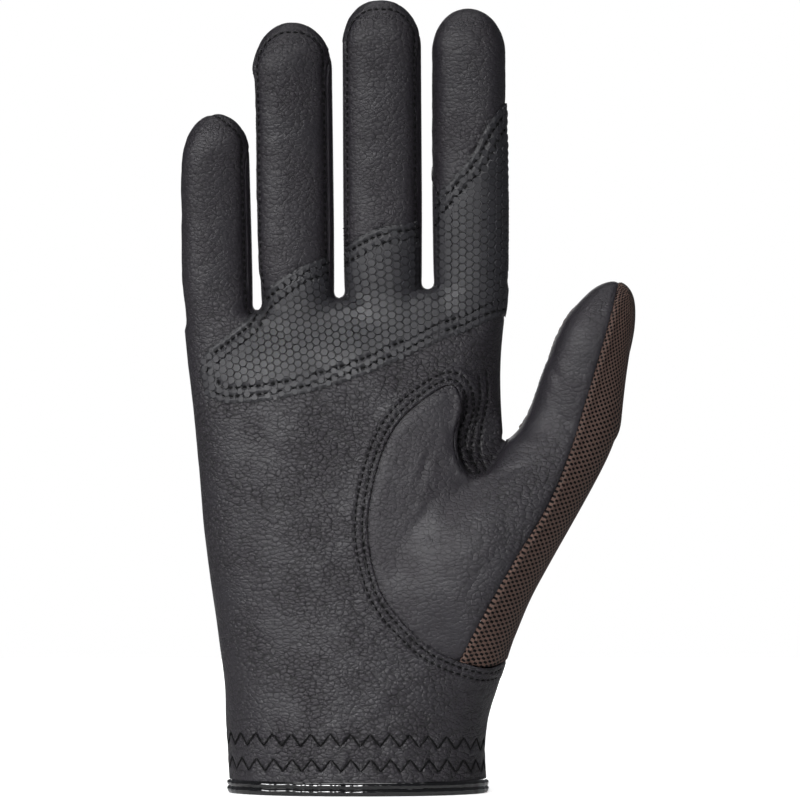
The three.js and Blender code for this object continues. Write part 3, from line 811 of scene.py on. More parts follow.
# Surfaces of triangles
@dataclass
class Net:
    """A surface of triangles with marks on its faces and numbers on its points."""

    points: Array
    faces: Array
    normals: Array
    marks: dict[str, Array] = field(default_factory=dict)
    notes: dict[str, Array] = field(default_factory=dict)
    rest: Array | None = None  # the points before they were raised

    def split(self, values: Array, mark: str, where: Array | None = None) -> "Net":
        """Cuts the triangles where values is zero, and marks the faces above zero.

        Args:
            values: One number for each point.
            mark: The new mark's name.
            where: The faces that may be cut, or None for all.

        Returns:
            The cut net.
        """
        values = np.where(np.abs(values) < 0.07, 0.0, values)
        side = np.sign(values).astype(int)
        corner = side[self.faces]
        cut = (corner.max(1) > 0) & (corner.min(1) < 0)
        if where is not None:
            cut &= where
        zeros = (corner == 0).sum(1)
        rows = np.arange(len(self.faces))
        first_zero = np.argmax(corner == 0, 1)
        odd = np.argmax(corner * np.sign(corner.sum(1))[:, None] < 0, 1)
        turn = np.where(zeros == 1, first_zero, odd)
        turned = np.stack([self.faces[rows, (turn + i) % 3] for i in range(3)], 1)
        one, two = turned[cut & (zeros == 1)], turned[cut & (zeros == 0)]
        pairs = np.vstack([one[:, [1, 2]], two[:, [0, 1]], two[:, [0, 2]]])
        unique, back = np.unique(np.sort(pairs, 1), axis=0, return_inverse=True)
        back = back.reshape(-1) + len(self.points)
        a, b = values[unique[:, 0]], values[unique[:, 1]]
        share = (a / (a - b))[:, None] if len(unique) else np.zeros((0, 1))
        lines = [self.points, self.normals]
        points, normals = (
            np.vstack([line, mix(line[unique[:, 0]], line[unique[:, 1]], share)]) for line in lines
        )
        m = back[: len(one)]
        m1, m2 = back[len(one) : len(one) + len(two)], back[len(one) + len(two) :]
        added = [
            np.stack([one[:, 0], one[:, 1], m], 1), np.stack([one[:, 0], m, one[:, 2]], 1),
            np.stack([two[:, 0], m1, m2], 1), np.stack([m1, two[:, 1], two[:, 2]], 1),
            np.stack([m1, two[:, 2], m2], 1),
        ]
        from_one, from_two = rows[cut & (zeros == 1)], rows[cut & (zeros == 0)]
        source = np.concatenate([rows[~cut], from_one, from_one, from_two, from_two, from_two])
        faces = np.vstack([self.faces[~cut], *added])
        marks = {name: flags[source] for name, flags in self.marks.items()}
        side = np.concatenate([side, np.zeros(len(unique), int)])
        marks[mark] = side[faces].sum(1) > 0
        return Net(points, faces, unit(normals), marks)

    def part(self, keep: Array) -> "Net":
        """The faces that are kept, without loose crumbs.

        Args:
            keep: Which faces are kept.

        Returns:
            The largest connected part of them.
        """
        faces = self.faces[keep]
        label = np.arange(len(self.points))
        while True:
            low = label[faces].min(1)
            new = label.copy()
            for i in range(3):
                np.minimum.at(new, faces[:, i], low)
            new = new[new]
            if (new == label).all():
                break
            label = new
        body, size = np.unique(label[faces[:, 0]], return_counts=True)
        faces = faces[label[faces[:, 0]] == body[size.argmax()]]
        used, back = np.unique(faces, return_inverse=True)
        return Net(self.points[used], back.reshape(-1, 3), self.normals[used])

    def refined(self, want: Array) -> "Net":
        """Halves every edge of the faces that are wanted, and fits the faces beside them.

        Args:
            want: Which faces are halved.

        Returns:
            The finer net.
        """
        faces = self.faces
        sides = np.stack([faces[:, [0, 1]], faces[:, [1, 2]], faces[:, [2, 0]]], 1)
        unique, back = np.unique(np.sort(sides.reshape(-1, 2), 1), axis=0, return_inverse=True)
        back = back.reshape(-1, 3)
        marked = np.zeros(len(unique), bool)
        marked[back[want].ravel()] = True
        middle = np.full(len(unique), -1)
        middle[marked] = len(self.points) + np.arange(marked.sum())
        lines = [self.points, self.normals]
        points, normals = (
            np.vstack([line, (line[unique[marked, 0]] + line[unique[marked, 1]]) / 2])
            for line in lines
        )
        hit = marked[back]
        count = hit.sum(1)
        turn = np.where(count == 1, np.argmax(hit, 1), (np.argmax(~hit, 1) + 1) % 3)
        turn = np.where((count == 1) | (count == 2), turn, 0)
        rows = np.arange(len(faces))
        v = [faces[rows, (turn + i) % 3] for i in range(3)]
        m = [middle[back[rows, (turn + i) % 3]] for i in range(3)]
        one, two, three = count == 1, count == 2, count == 3
        pick = lambda mask, *corners: np.stack([c[mask] for c in corners], 1)
        faces = np.vstack([
            faces[count == 0], pick(one, v[0], m[0], v[2]), pick(one, m[0], v[1], v[2]),
            pick(two, v[1], m[1], m[0]), pick(two, v[0], m[0], m[1]), pick(two, v[0], m[1], v[2]),
            pick(three, v[0], m[0], m[2]), pick(three, v[1], m[1], m[0]),
            pick(three, v[2], m[2], m[1]), pick(three, m[0], m[1], m[2]),
        ])
        return Net(points, faces, unit(normals))

    def sides(self) -> Array:
        """The three edges of every face, in its direction."""
        return np.vstack([self.faces[:, [i, (i + 1) % 3]] for i in range(3)])

    def rim(self) -> Array:
        """The edges at the border, each in its face's direction.

        Returns:
            Two point numbers for each edge.
        """
        edges = self.sides()
        _, back, count = np.unique(np.sort(edges, 1), axis=0, return_inverse=True, return_counts=True)
        return edges[count[back.reshape(-1)] == 1]

    def rim_distance(self, keep: Callable[[Array], Array] | None = None) -> Array:
        """How far each point is from the border, or from the part of it that is kept.

        Args:
            keep: Says which border points count, or None for all.

        Returns:
            One distance for each point.
        """
        corners = np.unique(self.rim())
        if keep is not None:
            corners = corners[keep(self.points[corners])]
        return nearest(self.points, self.points[corners])[0]

    def pull_in(self, gap: float) -> None:
        """Draws the border back along the surface, so the panel stands clear of the next.

        Args:
            gap: How far it is drawn back.
        """
        corners = np.unique(self.rim())
        edges = np.vstack([self.sides(), self.sides()[:, ::-1]])
        inward = np.zeros_like(self.points)
        step = unit(self.points[edges[:, 1]] - self.points[edges[:, 0]])
        np.add.at(inward, edges[:, 0], step)
        inward -= self.normals * (inward * self.normals).sum(1, keepdims=True)
        self.points[corners] += gap * unit(inward[corners])

    def raise_by(self, height: Array) -> None:
        """Moves the points out along their normals."""
        self.rest = self.points
        self.points = self.points + self.normals * np.asarray(height)[:, None]

    def face_normals(self) -> None:
        """Takes the normals from the faces again."""
        a, b, c = (self.points[self.faces[:, i]] for i in range(3))
        area = np.cross(b - a, c - a)
        normals = np.zeros_like(self.points)
        for i in range(3):
            np.add.at(normals, self.faces[:, i], area)
        self.normals = unit(normals)

    def walled(self, wall: float) -> "Net":
        """A closed wall of that thickness behind the surface.

        Args:
            wall: The thickness.

        Returns:
            The wall.
        """
        count = len(self.points)
        rim = self.rim()
        a, b = rim[:, 0], rim[:, 1]
        faces = np.vstack([
            self.faces, self.faces[:, ::-1] + count,
            np.stack([b, a, a + count], 1), np.stack([b, a + count, b + count], 1),
        ])
        points = np.vstack([self.points, self.points - self.normals * wall])
        notes = {name: np.concatenate([note, note]) for name, note in self.notes.items()}
        return Net(points, faces, np.vstack([self.normals, -self.normals]), {}, notes)


def tree_of(points: Array) -> KDTree:
    """A search tree of points.

    Args:
        points: The points, three columns.

    Returns:
        The tree.
    """
    tree = KDTree(len(points))
    for number, point in enumerate(points):
        tree.insert(point, number)
    tree.balance()
    return tree


def nearest(points: Array, targets: Array) -> tuple[Array, Array]:
    """The distance from each point to the nearest target, and that target's number.

    Args:
        points: The points.
        targets: The targets.

    Returns:
        The distances and the numbers.
    """
    tree = tree_of(targets)
    found = [tree.find(point)[1:] for point in points]
    return np.array([f[1] for f in found]), np.array([f[0] for f in found])


@dataclass
class SurfaceNet:
    """Makes a net of triangles on the hand's surface."""

    hand: HandForm
    step: float = 0.95
    low: tuple[float, float, float] = (-56.0, -27.0, -1.5)
    high: tuple[float, float, float] = (81.0, 27.0, 223.5)
    layers: int = 40  # how many layers of the grid are read at once

    def build(self) -> Net:
        """Samples the field on a grid and joins the crossings.

        Returns:
            The net.
        """
        axes = [np.arange(a, b, self.step) for a, b in zip(self.low, self.high)]
        x, y = axes[0][:, None, None], axes[1][None, :, None]
        parts = [
            self.hand.field(x, y, axes[2][None, None, i : i + self.layers])
            for i in range(0, len(axes[2]), self.layers)
        ]
        values = np.concatenate(parts, 2)
        points, quads = self._net(values)
        points = points * self.step + np.array(self.low)
        points = self._even(points, quads)
        points, normals = self.hand.seat(points, 3)
        short = np.linalg.norm(points[quads[:, 0]] - points[quads[:, 2]], axis=1)
        other = np.linalg.norm(points[quads[:, 1]] - points[quads[:, 3]], axis=1)
        flip = (other < short)[:, None]
        first = np.where(flip, quads[:, [0, 1, 3]], quads[:, [0, 1, 2]])
        second = np.where(flip, quads[:, [1, 2, 3]], quads[:, [0, 2, 3]])
        return Net(points, np.vstack([first, second]), normals)

    def _net(self, values: Array) -> tuple[Array, Array]:
        """One point in each cell that the surface crosses, and a quad across each crossed edge.

        Args:
            values: The field on the grid.

        Returns:
            The points in grid steps, and the quads.
        """
        inside = values < 0
        shape = tuple(n - 1 for n in values.shape)
        total, count = np.zeros(shape + (3,), np.float32), np.zeros(shape, np.int8)
        for axis in range(3):
            low = [slice(None)] * 3
            high = [slice(None)] * 3
            low[axis], high[axis] = slice(None, -1), slice(1, None)
            a, b = values[tuple(low)], values[tuple(high)]
            crossed = (a < 0) != (b < 0)
            share = np.where(crossed, a / np.where(crossed, a - b, 1), 0)
            others = [i for i in range(3) if i != axis]
            for i in (0, 1):
                for j in (0, 1):
                    view = [slice(None)] * 3
                    view[others[0]] = slice(i, i + shape[others[0]])
                    view[others[1]] = slice(j, j + shape[others[1]])
                    hit = crossed[tuple(view)]
                    count += hit
                    total[..., axis] += share[tuple(view)]
                    total[..., others[0]] += i * hit
                    total[..., others[1]] += j * hit
        active = count > 0
        number = np.full(shape, -1)
        number[active] = np.arange(active.sum())
        cells = np.argwhere(active)
        points = cells + total[active] / count[active][:, None]
        quads = []
        for axis in range(3):
            low = [slice(1, -1)] * 3
            high = [slice(1, -1)] * 3
            low[axis], high[axis] = slice(None, -1), slice(1, None)
            a, b = inside[tuple(low)], inside[tuple(high)]
            for flag, order in ((a & ~b, 1), (~a & b, -1)):
                place = np.argwhere(flag)
                others = [(axis + 1) % 3, (axis + 2) % 3]
                place[:, others] += 1
                ring = []
                for i, j in ((-1, -1), (0, -1), (0, 0), (-1, 0))[::order]:
                    cell = place.copy()
                    cell[:, others[0]] += i
                    cell[:, others[1]] += j
                    ring.append(number[cell[:, 0], cell[:, 1], cell[:, 2]])
                quads.append(np.stack(ring, 1))
        quads = np.vstack(quads)
        return points, quads[(quads >= 0).all(1)]

    def _even(self, points: Array, quads: Array) -> Array:
        """Evens out the net's cells.

        Args:
            points: The net's points.
            quads: Its cells.

        Returns:
            The moved points.
        """
        edges = np.vstack([quads[:, [i, (i + 1) % 4]] for i in range(4)])
        for _ in range(3):
            total = np.stack(
                [np.bincount(edges[:, 0], points[edges[:, 1], k], len(points)) for k in range(3)], 1
            )
            count = np.bincount(edges[:, 0], minlength=len(points))[:, None]
            points = np.where(count > 2, mix(points, total / np.maximum(count, 1), 0.5), points)
        return points


# Meshes, colours and nodes
def add_object(name: str, data: Any) -> bpy.types.Object:
    """A mesh, camera or light as an object in the scene."""
    made = bpy.data.objects.new(name, data)
    bpy.context.scene.collection.objects.link(made)
    return made


def make_object(
    name: str, net: Net, materials: list[bpy.types.Material], sharp: float = 50.0
) -> bpy.types.Object:
    """A Blender object of a net, in metres, with its notes as attributes.

    Args:
        name: The object's name.
        net: The surface.
        materials: Its finishes.
        sharp: The angle in degrees past which an edge stays sharp.

    Returns:
        The object, at the origin.
    """
    mesh = bpy.data.meshes.new(name)
    mesh.vertices.add(len(net.points))
    mesh.vertices.foreach_set("co", (net.points * MM).astype(np.float32).ravel())
    mesh.loops.add(net.faces.size)
    mesh.loops.foreach_set("vertex_index", net.faces.astype(np.int32).ravel())
    mesh.polygons.add(len(net.faces))
    mesh.polygons.foreach_set("loop_start", np.arange(0, net.faces.size, 3, dtype=np.int32))
    mesh.update(calc_edges=True)
    mesh.validate()
    mesh.shade_smooth()
    mesh.set_sharp_from_angle(angle=math.radians(sharp))
    for key, note in net.notes.items():
        if note.ndim == 1:
            layer = mesh.attributes.new(key, "FLOAT", "POINT")
            layer.data.foreach_set("value", note.astype(np.float32))
        else:
            layer = mesh.uv_layers.new(name=key)
            loops = np.empty(len(mesh.loops), np.int32)
            mesh.loops.foreach_get("vertex_index", loops)
            layer.data.foreach_set("uv", note[loops].astype(np.float32).ravel())
    for material in materials:
        mesh.materials.append(material)
    return add_object(name, mesh)


def linear(code: str) -> tuple[float, float, float, float]:
    """An sRGB hex colour as linear numbers.

    Args:
        code: The colour as #rrggbb.

    Returns:
        Red, green, blue and alpha.
    """
    parts = [int(code[i : i + 2], 16) / 255 for i in (1, 3, 5)]
    turned = [c / 12.92 if c <= 0.04045 else ((c + 0.055) / 1.055) ** 2.4 for c in parts]
    return (*turned, 1.0)


def add_node(tree: Any, kind: str, settings: dict | None = None, inputs: dict | None = None) -> Any:
    """Adds a node with its settings and what goes into it.

    Args:
        tree: The node tree.
        kind: The node's type.
        settings: Its properties by name.
        inputs: Its sockets by name or number: a value, another node's output, or a node, which
            stands for its first output.

    Returns:
        The node.
    """
    node = tree.nodes.new(kind)
    for key, value in (settings or {}).items():
        setattr(node, key, value)
    for key, value in (inputs or {}).items():
        socket = node.inputs[key]
        value = value.outputs[0] if isinstance(value, bpy.types.Node) else value
        if isinstance(value, bpy.types.NodeSocket):
            tree.links.new(value, socket)
        else:
            socket.default_value = value
    return node


def new_material(name: str) -> tuple[bpy.types.Material, Any, Any]:
    """An empty material with its output and Principled shader.

    Args:
        name: The material's name.

    Returns:
        The material, its node tree and the shader node.
    """
    material = bpy.data.materials.new(name)
    material.use_nodes = True
    tree = material.node_tree
    tree.nodes.clear()
    output = add_node(tree, "ShaderNodeOutputMaterial")
    shader = add_node(tree, "ShaderNodeBsdfPrincipled")
    tree.links.new(shader.outputs[0], output.inputs[0])
    return material, tree, shader


def millimetres(tree: Any, scale: tuple[float, float, float] = (1, 1, 1)) -> Any:
    """The place on the object in millimetres, stretched by a scale.

    Args:
        tree: The node tree.
        scale: The stretch along each axis.

    Returns:
        The place's socket.
    """
    place = add_node(tree, "ShaderNodeTexCoord").outputs["Object"]
    by = tuple(1000 * s for s in scale)
    return add_node(tree, "ShaderNodeMapping", None, {"Vector": place, "Scale": by}).outputs[0]


# Node kinds and settings that the finishes share
MATH, NOISE, RANGE = "ShaderNodeMath", "ShaderNodeTexNoise", "ShaderNodeMapRange"
TIMES, TIMES_PLUS = {"operation": "MULTIPLY"}, {"operation": "MULTIPLY_ADD"}
PLUS, COSINE = {"operation": "ADD"}, {"operation": "COSINE"}
SMOOTH = {"interpolation_type": "SMOOTHSTEP"}
COLOURS = {"data_type": "RGBA"}


@dataclass(frozen=True)
class GrainLeather:
    """Synthetic glove leather, embossed with an irregular pebble grain and creased by wear.

    The eye sees satin highlights that the grain breaks up. The valleys between pebbles are darkened
    with painted shade.
    """

    name: str = "grained_leather"
    base: str = "#28272c"
    tint: str = "#2b262c"
    # the colour of the painted shade in the valleys between pebbles
    valley: str = "#171618"
    # also the colour of the painted shadow line on the palm beside the grip patch
    thread: str = "#060607"
    grain: float = 1.2  # mm across one pebble
    grain_depth: float = 0.3
    wrinkle_depth: float = 0.06
    pucker_depth: float = 0.12
    pitch: float = 2.0
    roughness: float = 0.5

    def build(self) -> bpy.types.Material:
        """Makes the material.

        Returns:
            The material.
        """
        material, tree, shader = new_material(self.name)
        place = millimetres(tree)
        warp = add_node(tree, NOISE, None, {"Vector": place, "Scale": 0.45, "Detail": 2.0})
        squeezed = millimetres(tree, (0.8, 0.9, 1.15))
        bend = add_node(
            tree, "ShaderNodeVectorMath", TIMES_PLUS,
            {0: warp.outputs["Color"], 1: (1.6, 1.6, 1.6), 2: squeezed},
        )
        pebbles = {"Vector": bend, "Scale": 1 / self.grain}
        cells = add_node(tree, "ShaderNodeTexVoronoi", {"feature": "F1"}, pebbles)
        away = add_node(tree, "ShaderNodeTexVoronoi", {"feature": "DISTANCE_TO_EDGE"}, pebbles)
        crack = add_node(
            tree, RANGE, SMOOTH, {"Value": away, "From Max": 0.16, "To Min": 0.3, "To Max": 0.0}
        )
        dome = add_node(tree, MATH, TIMES_PLUS, {0: cells, 1: cells, 2: crack})
        patchy = add_node(tree, NOISE, None, {"Vector": place, "Scale": 0.1, "Detail": 2.0})
        spread = add_node(
            tree, RANGE, None,
            {"Value": patchy, "From Min": 0.35, "From Max": 0.65, "To Min": 0.5, "To Max": 1.0},
        )
        grain, row, run = (
            add_node(tree, "ShaderNodeAttribute", {"attribute_name": name}).outputs["Fac"]
            for name in ("grain", "row", "run")
        )
        amount = add_node(tree, MATH, TIMES, {0: grain, 1: spread})
        stretched = millimetres(tree, (0.55, 0.55, 1.1))
        ribs = add_node(
            tree, NOISE, None,
            {"Vector": stretched, "Scale": 0.55, "Detail": 5.0, "Roughness": 0.6, "Distortion": 0.5},
        )
        angle = add_node(tree, MATH, TIMES, {0: run, 1: 2 * math.pi / self.pitch})
        wave = add_node(tree, MATH, COSINE, {0: angle})
        pebbled = add_node(tree, MATH, TIMES, {0: dome, 1: amount})
        wrinkled = add_node(tree, MATH, TIMES, {0: ribs, 1: self.wrinkle_depth})
        pucker = add_node(tree, MATH, TIMES, {0: wave, 1: row})
        height = add_node(tree, MATH, TIMES_PLUS, {0: pebbled, 1: -self.grain_depth, 2: wrinkled})
        height = add_node(tree, MATH, TIMES_PLUS, {0: pucker, 1: self.pucker_depth, 2: height})
        bump = add_node(
            tree, "ShaderNodeBump", None, {"Strength": 1.0, "Distance": MM, "Height": height}
        )
        tone = add_node(
            tree, "ShaderNodeMix", COLOURS,
            {"Factor": patchy, "A": linear(self.base), "B": linear(self.tint)},
        ).outputs["Result"]
        # painted shade: the valleys between the pebbles are darkened towards the valley colour
        painted_valley_shade = add_node(
            tree, RANGE, SMOOTH,
            {"Value": add_node(tree, MATH, PLUS, {0: cells, 1: crack}),
             "From Min": 0.45, "From Max": 0.95, "To Max": 0.85},
        )
        shaded = add_node(tree, MATH, TIMES, {0: painted_valley_shade, 1: amount})
        dark = add_node(
            tree, "ShaderNodeMix", COLOURS, {"Factor": shaded, "A": tone, "B": linear(self.valley)}
        ).outputs["Result"]
        # the row note darkens the leather in dashes towards the thread colour: along the stitch rows as
        # thread, and beside the patch's edge as painted shadow
        line = add_node(
            tree, RANGE, SMOOTH, {"Value": row, "From Min": 0.3, "From Max": 0.85, "To Max": 1.0}
        )
        dashes = add_node(tree, MATH, TIMES_PLUS, {0: wave, 1: -0.38, 2: 0.48})
        sewn = add_node(tree, MATH, TIMES, {0: line, 1: dashes})
        spot = add_node(
            tree, "ShaderNodeMix", COLOURS, {"Factor": sewn, "A": dark, "B": linear(self.thread)}
        )
        rough = add_node(
            tree, RANGE, None,
            {"Value": patchy, "From Min": 0.3, "From Max": 0.7,
             "To Min": self.roughness - 0.05, "To Max": self.roughness + 0.07},
        ).outputs[0]
        tree.links.new(spot.outputs["Result"], shader.inputs["Base Color"])
        tree.links.new(rough, shader.inputs["Roughness"])
        tree.links.new(bump.outputs[0], shader.inputs["Normal"])
        return material


@dataclass(frozen=True)
class KnitMesh:
    """Polyester warp-knit mesh, dyed brown, with small holes in staggered rows.

    The eye sees matt lighter yarn round dark holes, and a soft sheen along folds.
    """

    name: str = "knitted_mesh"
    yarn: str = "#4f3e38"
    light: str = "#735c53"
    hole: str = "#080606"
    across: float = 1.42  # mm from one hole to the next in a row, and from row to row
    along: float = 1.55
    hole_depth: float = 0.5
    roughness: float = 0.75

    def build(self) -> bpy.types.Material:
        """Makes the material.

        Returns:
            The material.
        """
        material, tree, shader = new_material(self.name)
        uv = add_node(tree, "ShaderNodeUVMap", {"uv_map": "knit"}).outputs[0]
        parts = add_node(tree, "ShaderNodeSeparateXYZ", None, {0: uv})
        angles = [
            add_node(tree, MATH, TIMES, {0: parts.outputs[i], 1: 2 * math.pi / pitch})
            for i, pitch in ((0, self.across), (1, self.along))
        ]
        waves = [add_node(tree, MATH, COSINE, {0: angle}) for angle in angles]
        grid = add_node(tree, MATH, TIMES, {0: waves[0], 1: waves[1]})
        opening = add_node(
            tree, RANGE, SMOOTH, {"Value": grid, "From Min": -0.08, "From Max": 0.32}
        )
        place = millimetres(tree)
        yarn = add_node(tree, NOISE, None, {"Vector": place, "Scale": 3.2, "Detail": 2.0})
        tone = add_node(
            tree, "ShaderNodeMix", COLOURS,
            {"Factor": yarn, "A": linear(self.yarn), "B": linear(self.light)},
        ).outputs["Result"]
        colour = add_node(
            tree, "ShaderNodeMix", COLOURS, {"Factor": opening, "A": tone, "B": linear(self.hole)}
        )
        fuzz = add_node(tree, MATH, TIMES, {0: yarn, 1: 0.1})
        height = add_node(tree, MATH, TIMES_PLUS, {0: opening, 1: -self.hole_depth, 2: fuzz})
        bump = add_node(
            tree, "ShaderNodeBump", None, {"Strength": 1.0, "Distance": MM, "Height": height}
        )
        tree.links.new(colour.outputs["Result"], shader.inputs["Base Color"])
        tree.links.new(bump.outputs[0], shader.inputs["Normal"])
        shader.inputs["Roughness"].default_value = self.roughness
        shader.inputs["Specular IOR Level"].default_value = 0.15
        shader.inputs["Sheen Weight"].default_value = 0.05
        return material


@dataclass(frozen=True)
class SmoothFinish:
    """A plain finish of one colour with fine unevenness, for patent leather and thread.

    Patent leather is lacquered and mirrors the lights; sewing thread is matt and wound.
    """

    name: str
    colour: str
    roughness: float
    lacquer: float = 0.0
    shine: float = 0.5
    unevenness: float = 0.03
    spacing: float = 1.5

    def build(self) -> bpy.types.Material:
        """Makes the material.

        Returns:
            The material.
        """
        material, tree, shader = new_material(self.name)
        place = millimetres(tree)
        noise = add_node(
            tree, NOISE, None, {"Vector": place, "Scale": 1 / self.spacing, "Detail": 3.0}
        )
        height = add_node(tree, MATH, TIMES, {0: noise, 1: self.unevenness})
        bump = add_node(
            tree, "ShaderNodeBump", None, {"Strength": 1.0, "Distance": MM, "Height": height}
        )
        tree.links.new(bump.outputs[0], shader.inputs["Normal"])
        shader.inputs["Base Color"].default_value = linear(self.colour)
        shader.inputs["Roughness"].default_value = self.roughness
        shader.inputs["Specular IOR Level"].default_value = self.shine
        shader.inputs["Coat Weight"].default_value = self.lacquer
        shader.inputs["Coat Roughness"].default_value = 0.05
        return material


# What repeats along a path
class Copies(Enum):
    """What is set out on a surface."""

    STITCH = "stitch"
    HEXAGON = "hexagon"


@dataclass
class SetOut:
    """Sets copies of a small shape on points of a surface with Geometry Nodes."""

    kind: Copies
    length: float
    width: float
    height: float
    notes: tuple[str, ...] = ("along", "out", "stretch")  # what the points carry

    def tree(self) -> bpy.types.NodeTree:
        """Builds the node tree, with named inputs for the sizes.

        Returns:
            The node tree.
        """
        tree = bpy.data.node_groups.new(f"set_out_{self.kind.value}", "GeometryNodeTree")
        face = tree.interface
        face.new_socket(name="Geometry", in_out="INPUT", socket_type="NodeSocketGeometry")
        for name in ("Length", "Width", "Height"):
            face.new_socket(name=name, in_out="INPUT", socket_type="NodeSocketFloat")
        face.new_socket(name="Finish", in_out="INPUT", socket_type="NodeSocketMaterial")
        face.new_socket(name="Geometry", in_out="OUTPUT", socket_type="NodeSocketGeometry")
        source = add_node(tree, "NodeGroupInput")
        size = add_node(tree, "ShaderNodeCombineXYZ", None, {
            0: source.outputs["Length"], 1: source.outputs["Width"], 2: source.outputs["Height"],
        })
        if self.kind is Copies.STITCH:
            ball = {"Segments": 8, "Rings": 5, "Radius": 0.5}
            shape = add_node(tree, "GeometryNodeMeshUVSphere", None, ball)
        else:
            shape = self._pad(tree)
        shape = add_node(tree, "GeometryNodeTransform", None, {"Geometry": shape, "Scale": size})
        vector = {"data_type": "FLOAT_VECTOR"}
        along, out, stretch = (
            add_node(tree, "GeometryNodeInputNamedAttribute", vector, {"Name": name})
            for name in self.notes
        )
        align = "FunctionNodeAlignRotationToVector"
        first = add_node(tree, align, {"axis": "Z"}, {"Vector": out})
        second = add_node(
            tree, align, {"axis": "X", "pivot_axis": "Z"}, {"Rotation": first, "Vector": along}
        )
        copies = add_node(tree, "GeometryNodeInstanceOnPoints", None, {
            "Points": source.outputs["Geometry"], "Instance": shape, "Rotation": second,
            "Scale": stretch,
        })
        real = add_node(tree, "GeometryNodeRealizeInstances", None, {0: copies})
        if self.kind is Copies.STITCH:
            real = add_node(tree, "GeometryNodeSetShadeSmooth", None, {0: real})
        done = add_node(tree, "GeometryNodeSetMaterial", None, {
            "Geometry": real, "Material": source.outputs["Finish"],
        })
        add_node(tree, "NodeGroupOutput", None, {0: done})
        return tree

    def _pad(self, tree: Any) -> Any:
        """A low six-sided pad with a rounded edge, one unit across its corners.

        Args:
            tree: The node tree.

        Returns:
            The pad's socket.
        """
        levels = ((0.5, -0.8), (0.5, 0.1), (0.475, 0.7), (0.435, 0.92))
        corners = []
        for radius, z in levels:
            for i in range(6):
                turn = math.pi * i / 3
                corners.append((radius * math.cos(turn), radius * math.sin(turn), z))
        corners += [(0, 0, -0.6), (0, 0, 1.0)]
        faces = [(24, (i + 1) % 6, i) for i in range(6)]
        faces += [(25, 18 + i, 18 + (i + 1) % 6) for i in range(6)]
        for ring in range(3):
            for i in range(6):
                a, b = 6 * ring + i, 6 * ring + (i + 1) % 6
                faces += [(a, b, b + 6), (a, b + 6, a + 6)]
        net = Net(np.array(corners) / MM, np.array(faces), np.zeros((26, 3)))
        made = make_object("hexagon_pattern", net, [], 25)
        node = add_node(tree, "GeometryNodeObjectInfo", {"transform_space": "ORIGINAL"})
        node.inputs["Object"].default_value = made
        return node.outputs["Geometry"]

    def build(
        self, name: str, at: Array, along: Array, out: Array, finish: Any,
        stretch: Array | None = None,
    ) -> bpy.types.Object:
        """Sets out the copies and turns them into one plain mesh.

        Args:
            name: The piece's name.
            at: The copies' places.
            along: Their length's directions.
            out: The surface's outward directions there.
            finish: Their material.
            stretch: A share of the length, width and height for each, or None.

        Returns:
            The piece.
        """
        mesh = bpy.data.meshes.new(name)
        mesh.vertices.add(len(at))
        mesh.vertices.foreach_set("co", (at * MM).astype(np.float32).ravel())
        stretch = np.ones((len(at), 3)) if stretch is None else stretch
        for key, value in zip(self.notes, (along, out, stretch)):
            layer = mesh.attributes.new(key, "FLOAT_VECTOR", "POINT")
            layer.data.foreach_set("vector", value.astype(np.float32).ravel())
        made = add_object(name, mesh)
        tree = self.tree()
        modifier = made.modifiers.new("set_out", "NODES")
        modifier.node_group = tree
        given = {
            "Length": self.length * MM, "Width": self.width * MM, "Height": self.height * MM,
            "Finish": finish,
        }
        for item in tree.interface.items_tree:
            if item.in_out == "INPUT" and item.name in given:
                modifier[item.identifier] = given[item.name]
        bpy.context.view_layer.update()
        result = bpy.data.meshes.new_from_object(
            made.evaluated_get(bpy.context.evaluated_depsgraph_get())
        )
        made.modifiers.remove(modifier)
        made.data = result
        bpy.data.meshes.remove(mesh)
        pattern = bpy.data.objects.get("hexagon_pattern")
        if pattern:
            bpy.data.objects.remove(pattern)
        for key in self.notes:
            if key in result.attributes:
                result.attributes.remove(result.attributes[key])
        return made


@dataclass
class Row:
    """A row of stitches: points close together on the surface, and the outward normals."""

    points: Array
    normals: Array

    def lengths(self) -> Array:
        """How far along the row each point is."""
        return run_of(self.points)

    def sample(self, pitch: float) -> tuple[Array, Array, Array]:
        """Places a pitch apart, with their directions along the row and outward.

        Args:
            pitch: How far apart they are.

        Returns:
            The places and both directions.
        """
        run = self.lengths()
        stops = np.arange(pitch / 2, run[-1], pitch)
        lines = self.points, unit(np.gradient(self.points, axis=0)), self.normals
        at, along, out = (read_along(stops, run, line) for line in lines)
        return at, unit(along), unit(out)


def runs_of(points: Array, keep: Array, least: int = 6) -> list[Array]:
    """The unbroken runs of a line's points that are kept.

    Args:
        points: The line's points.
        keep: Which are kept.
        least: The fewest points of a run.

    Returns:
        The points of each run.
    """
    runs, current = [], []
    for number, good in enumerate(keep):
        far = current and np.linalg.norm(points[number] - points[current[-1]]) > 3
        if good and not far:
            current.append(number)
        else:
            if len(current) >= least:
                runs.append(points[current])
            current = [number] if good else []
    if len(current) >= least:
        runs.append(points[current])
    return runs


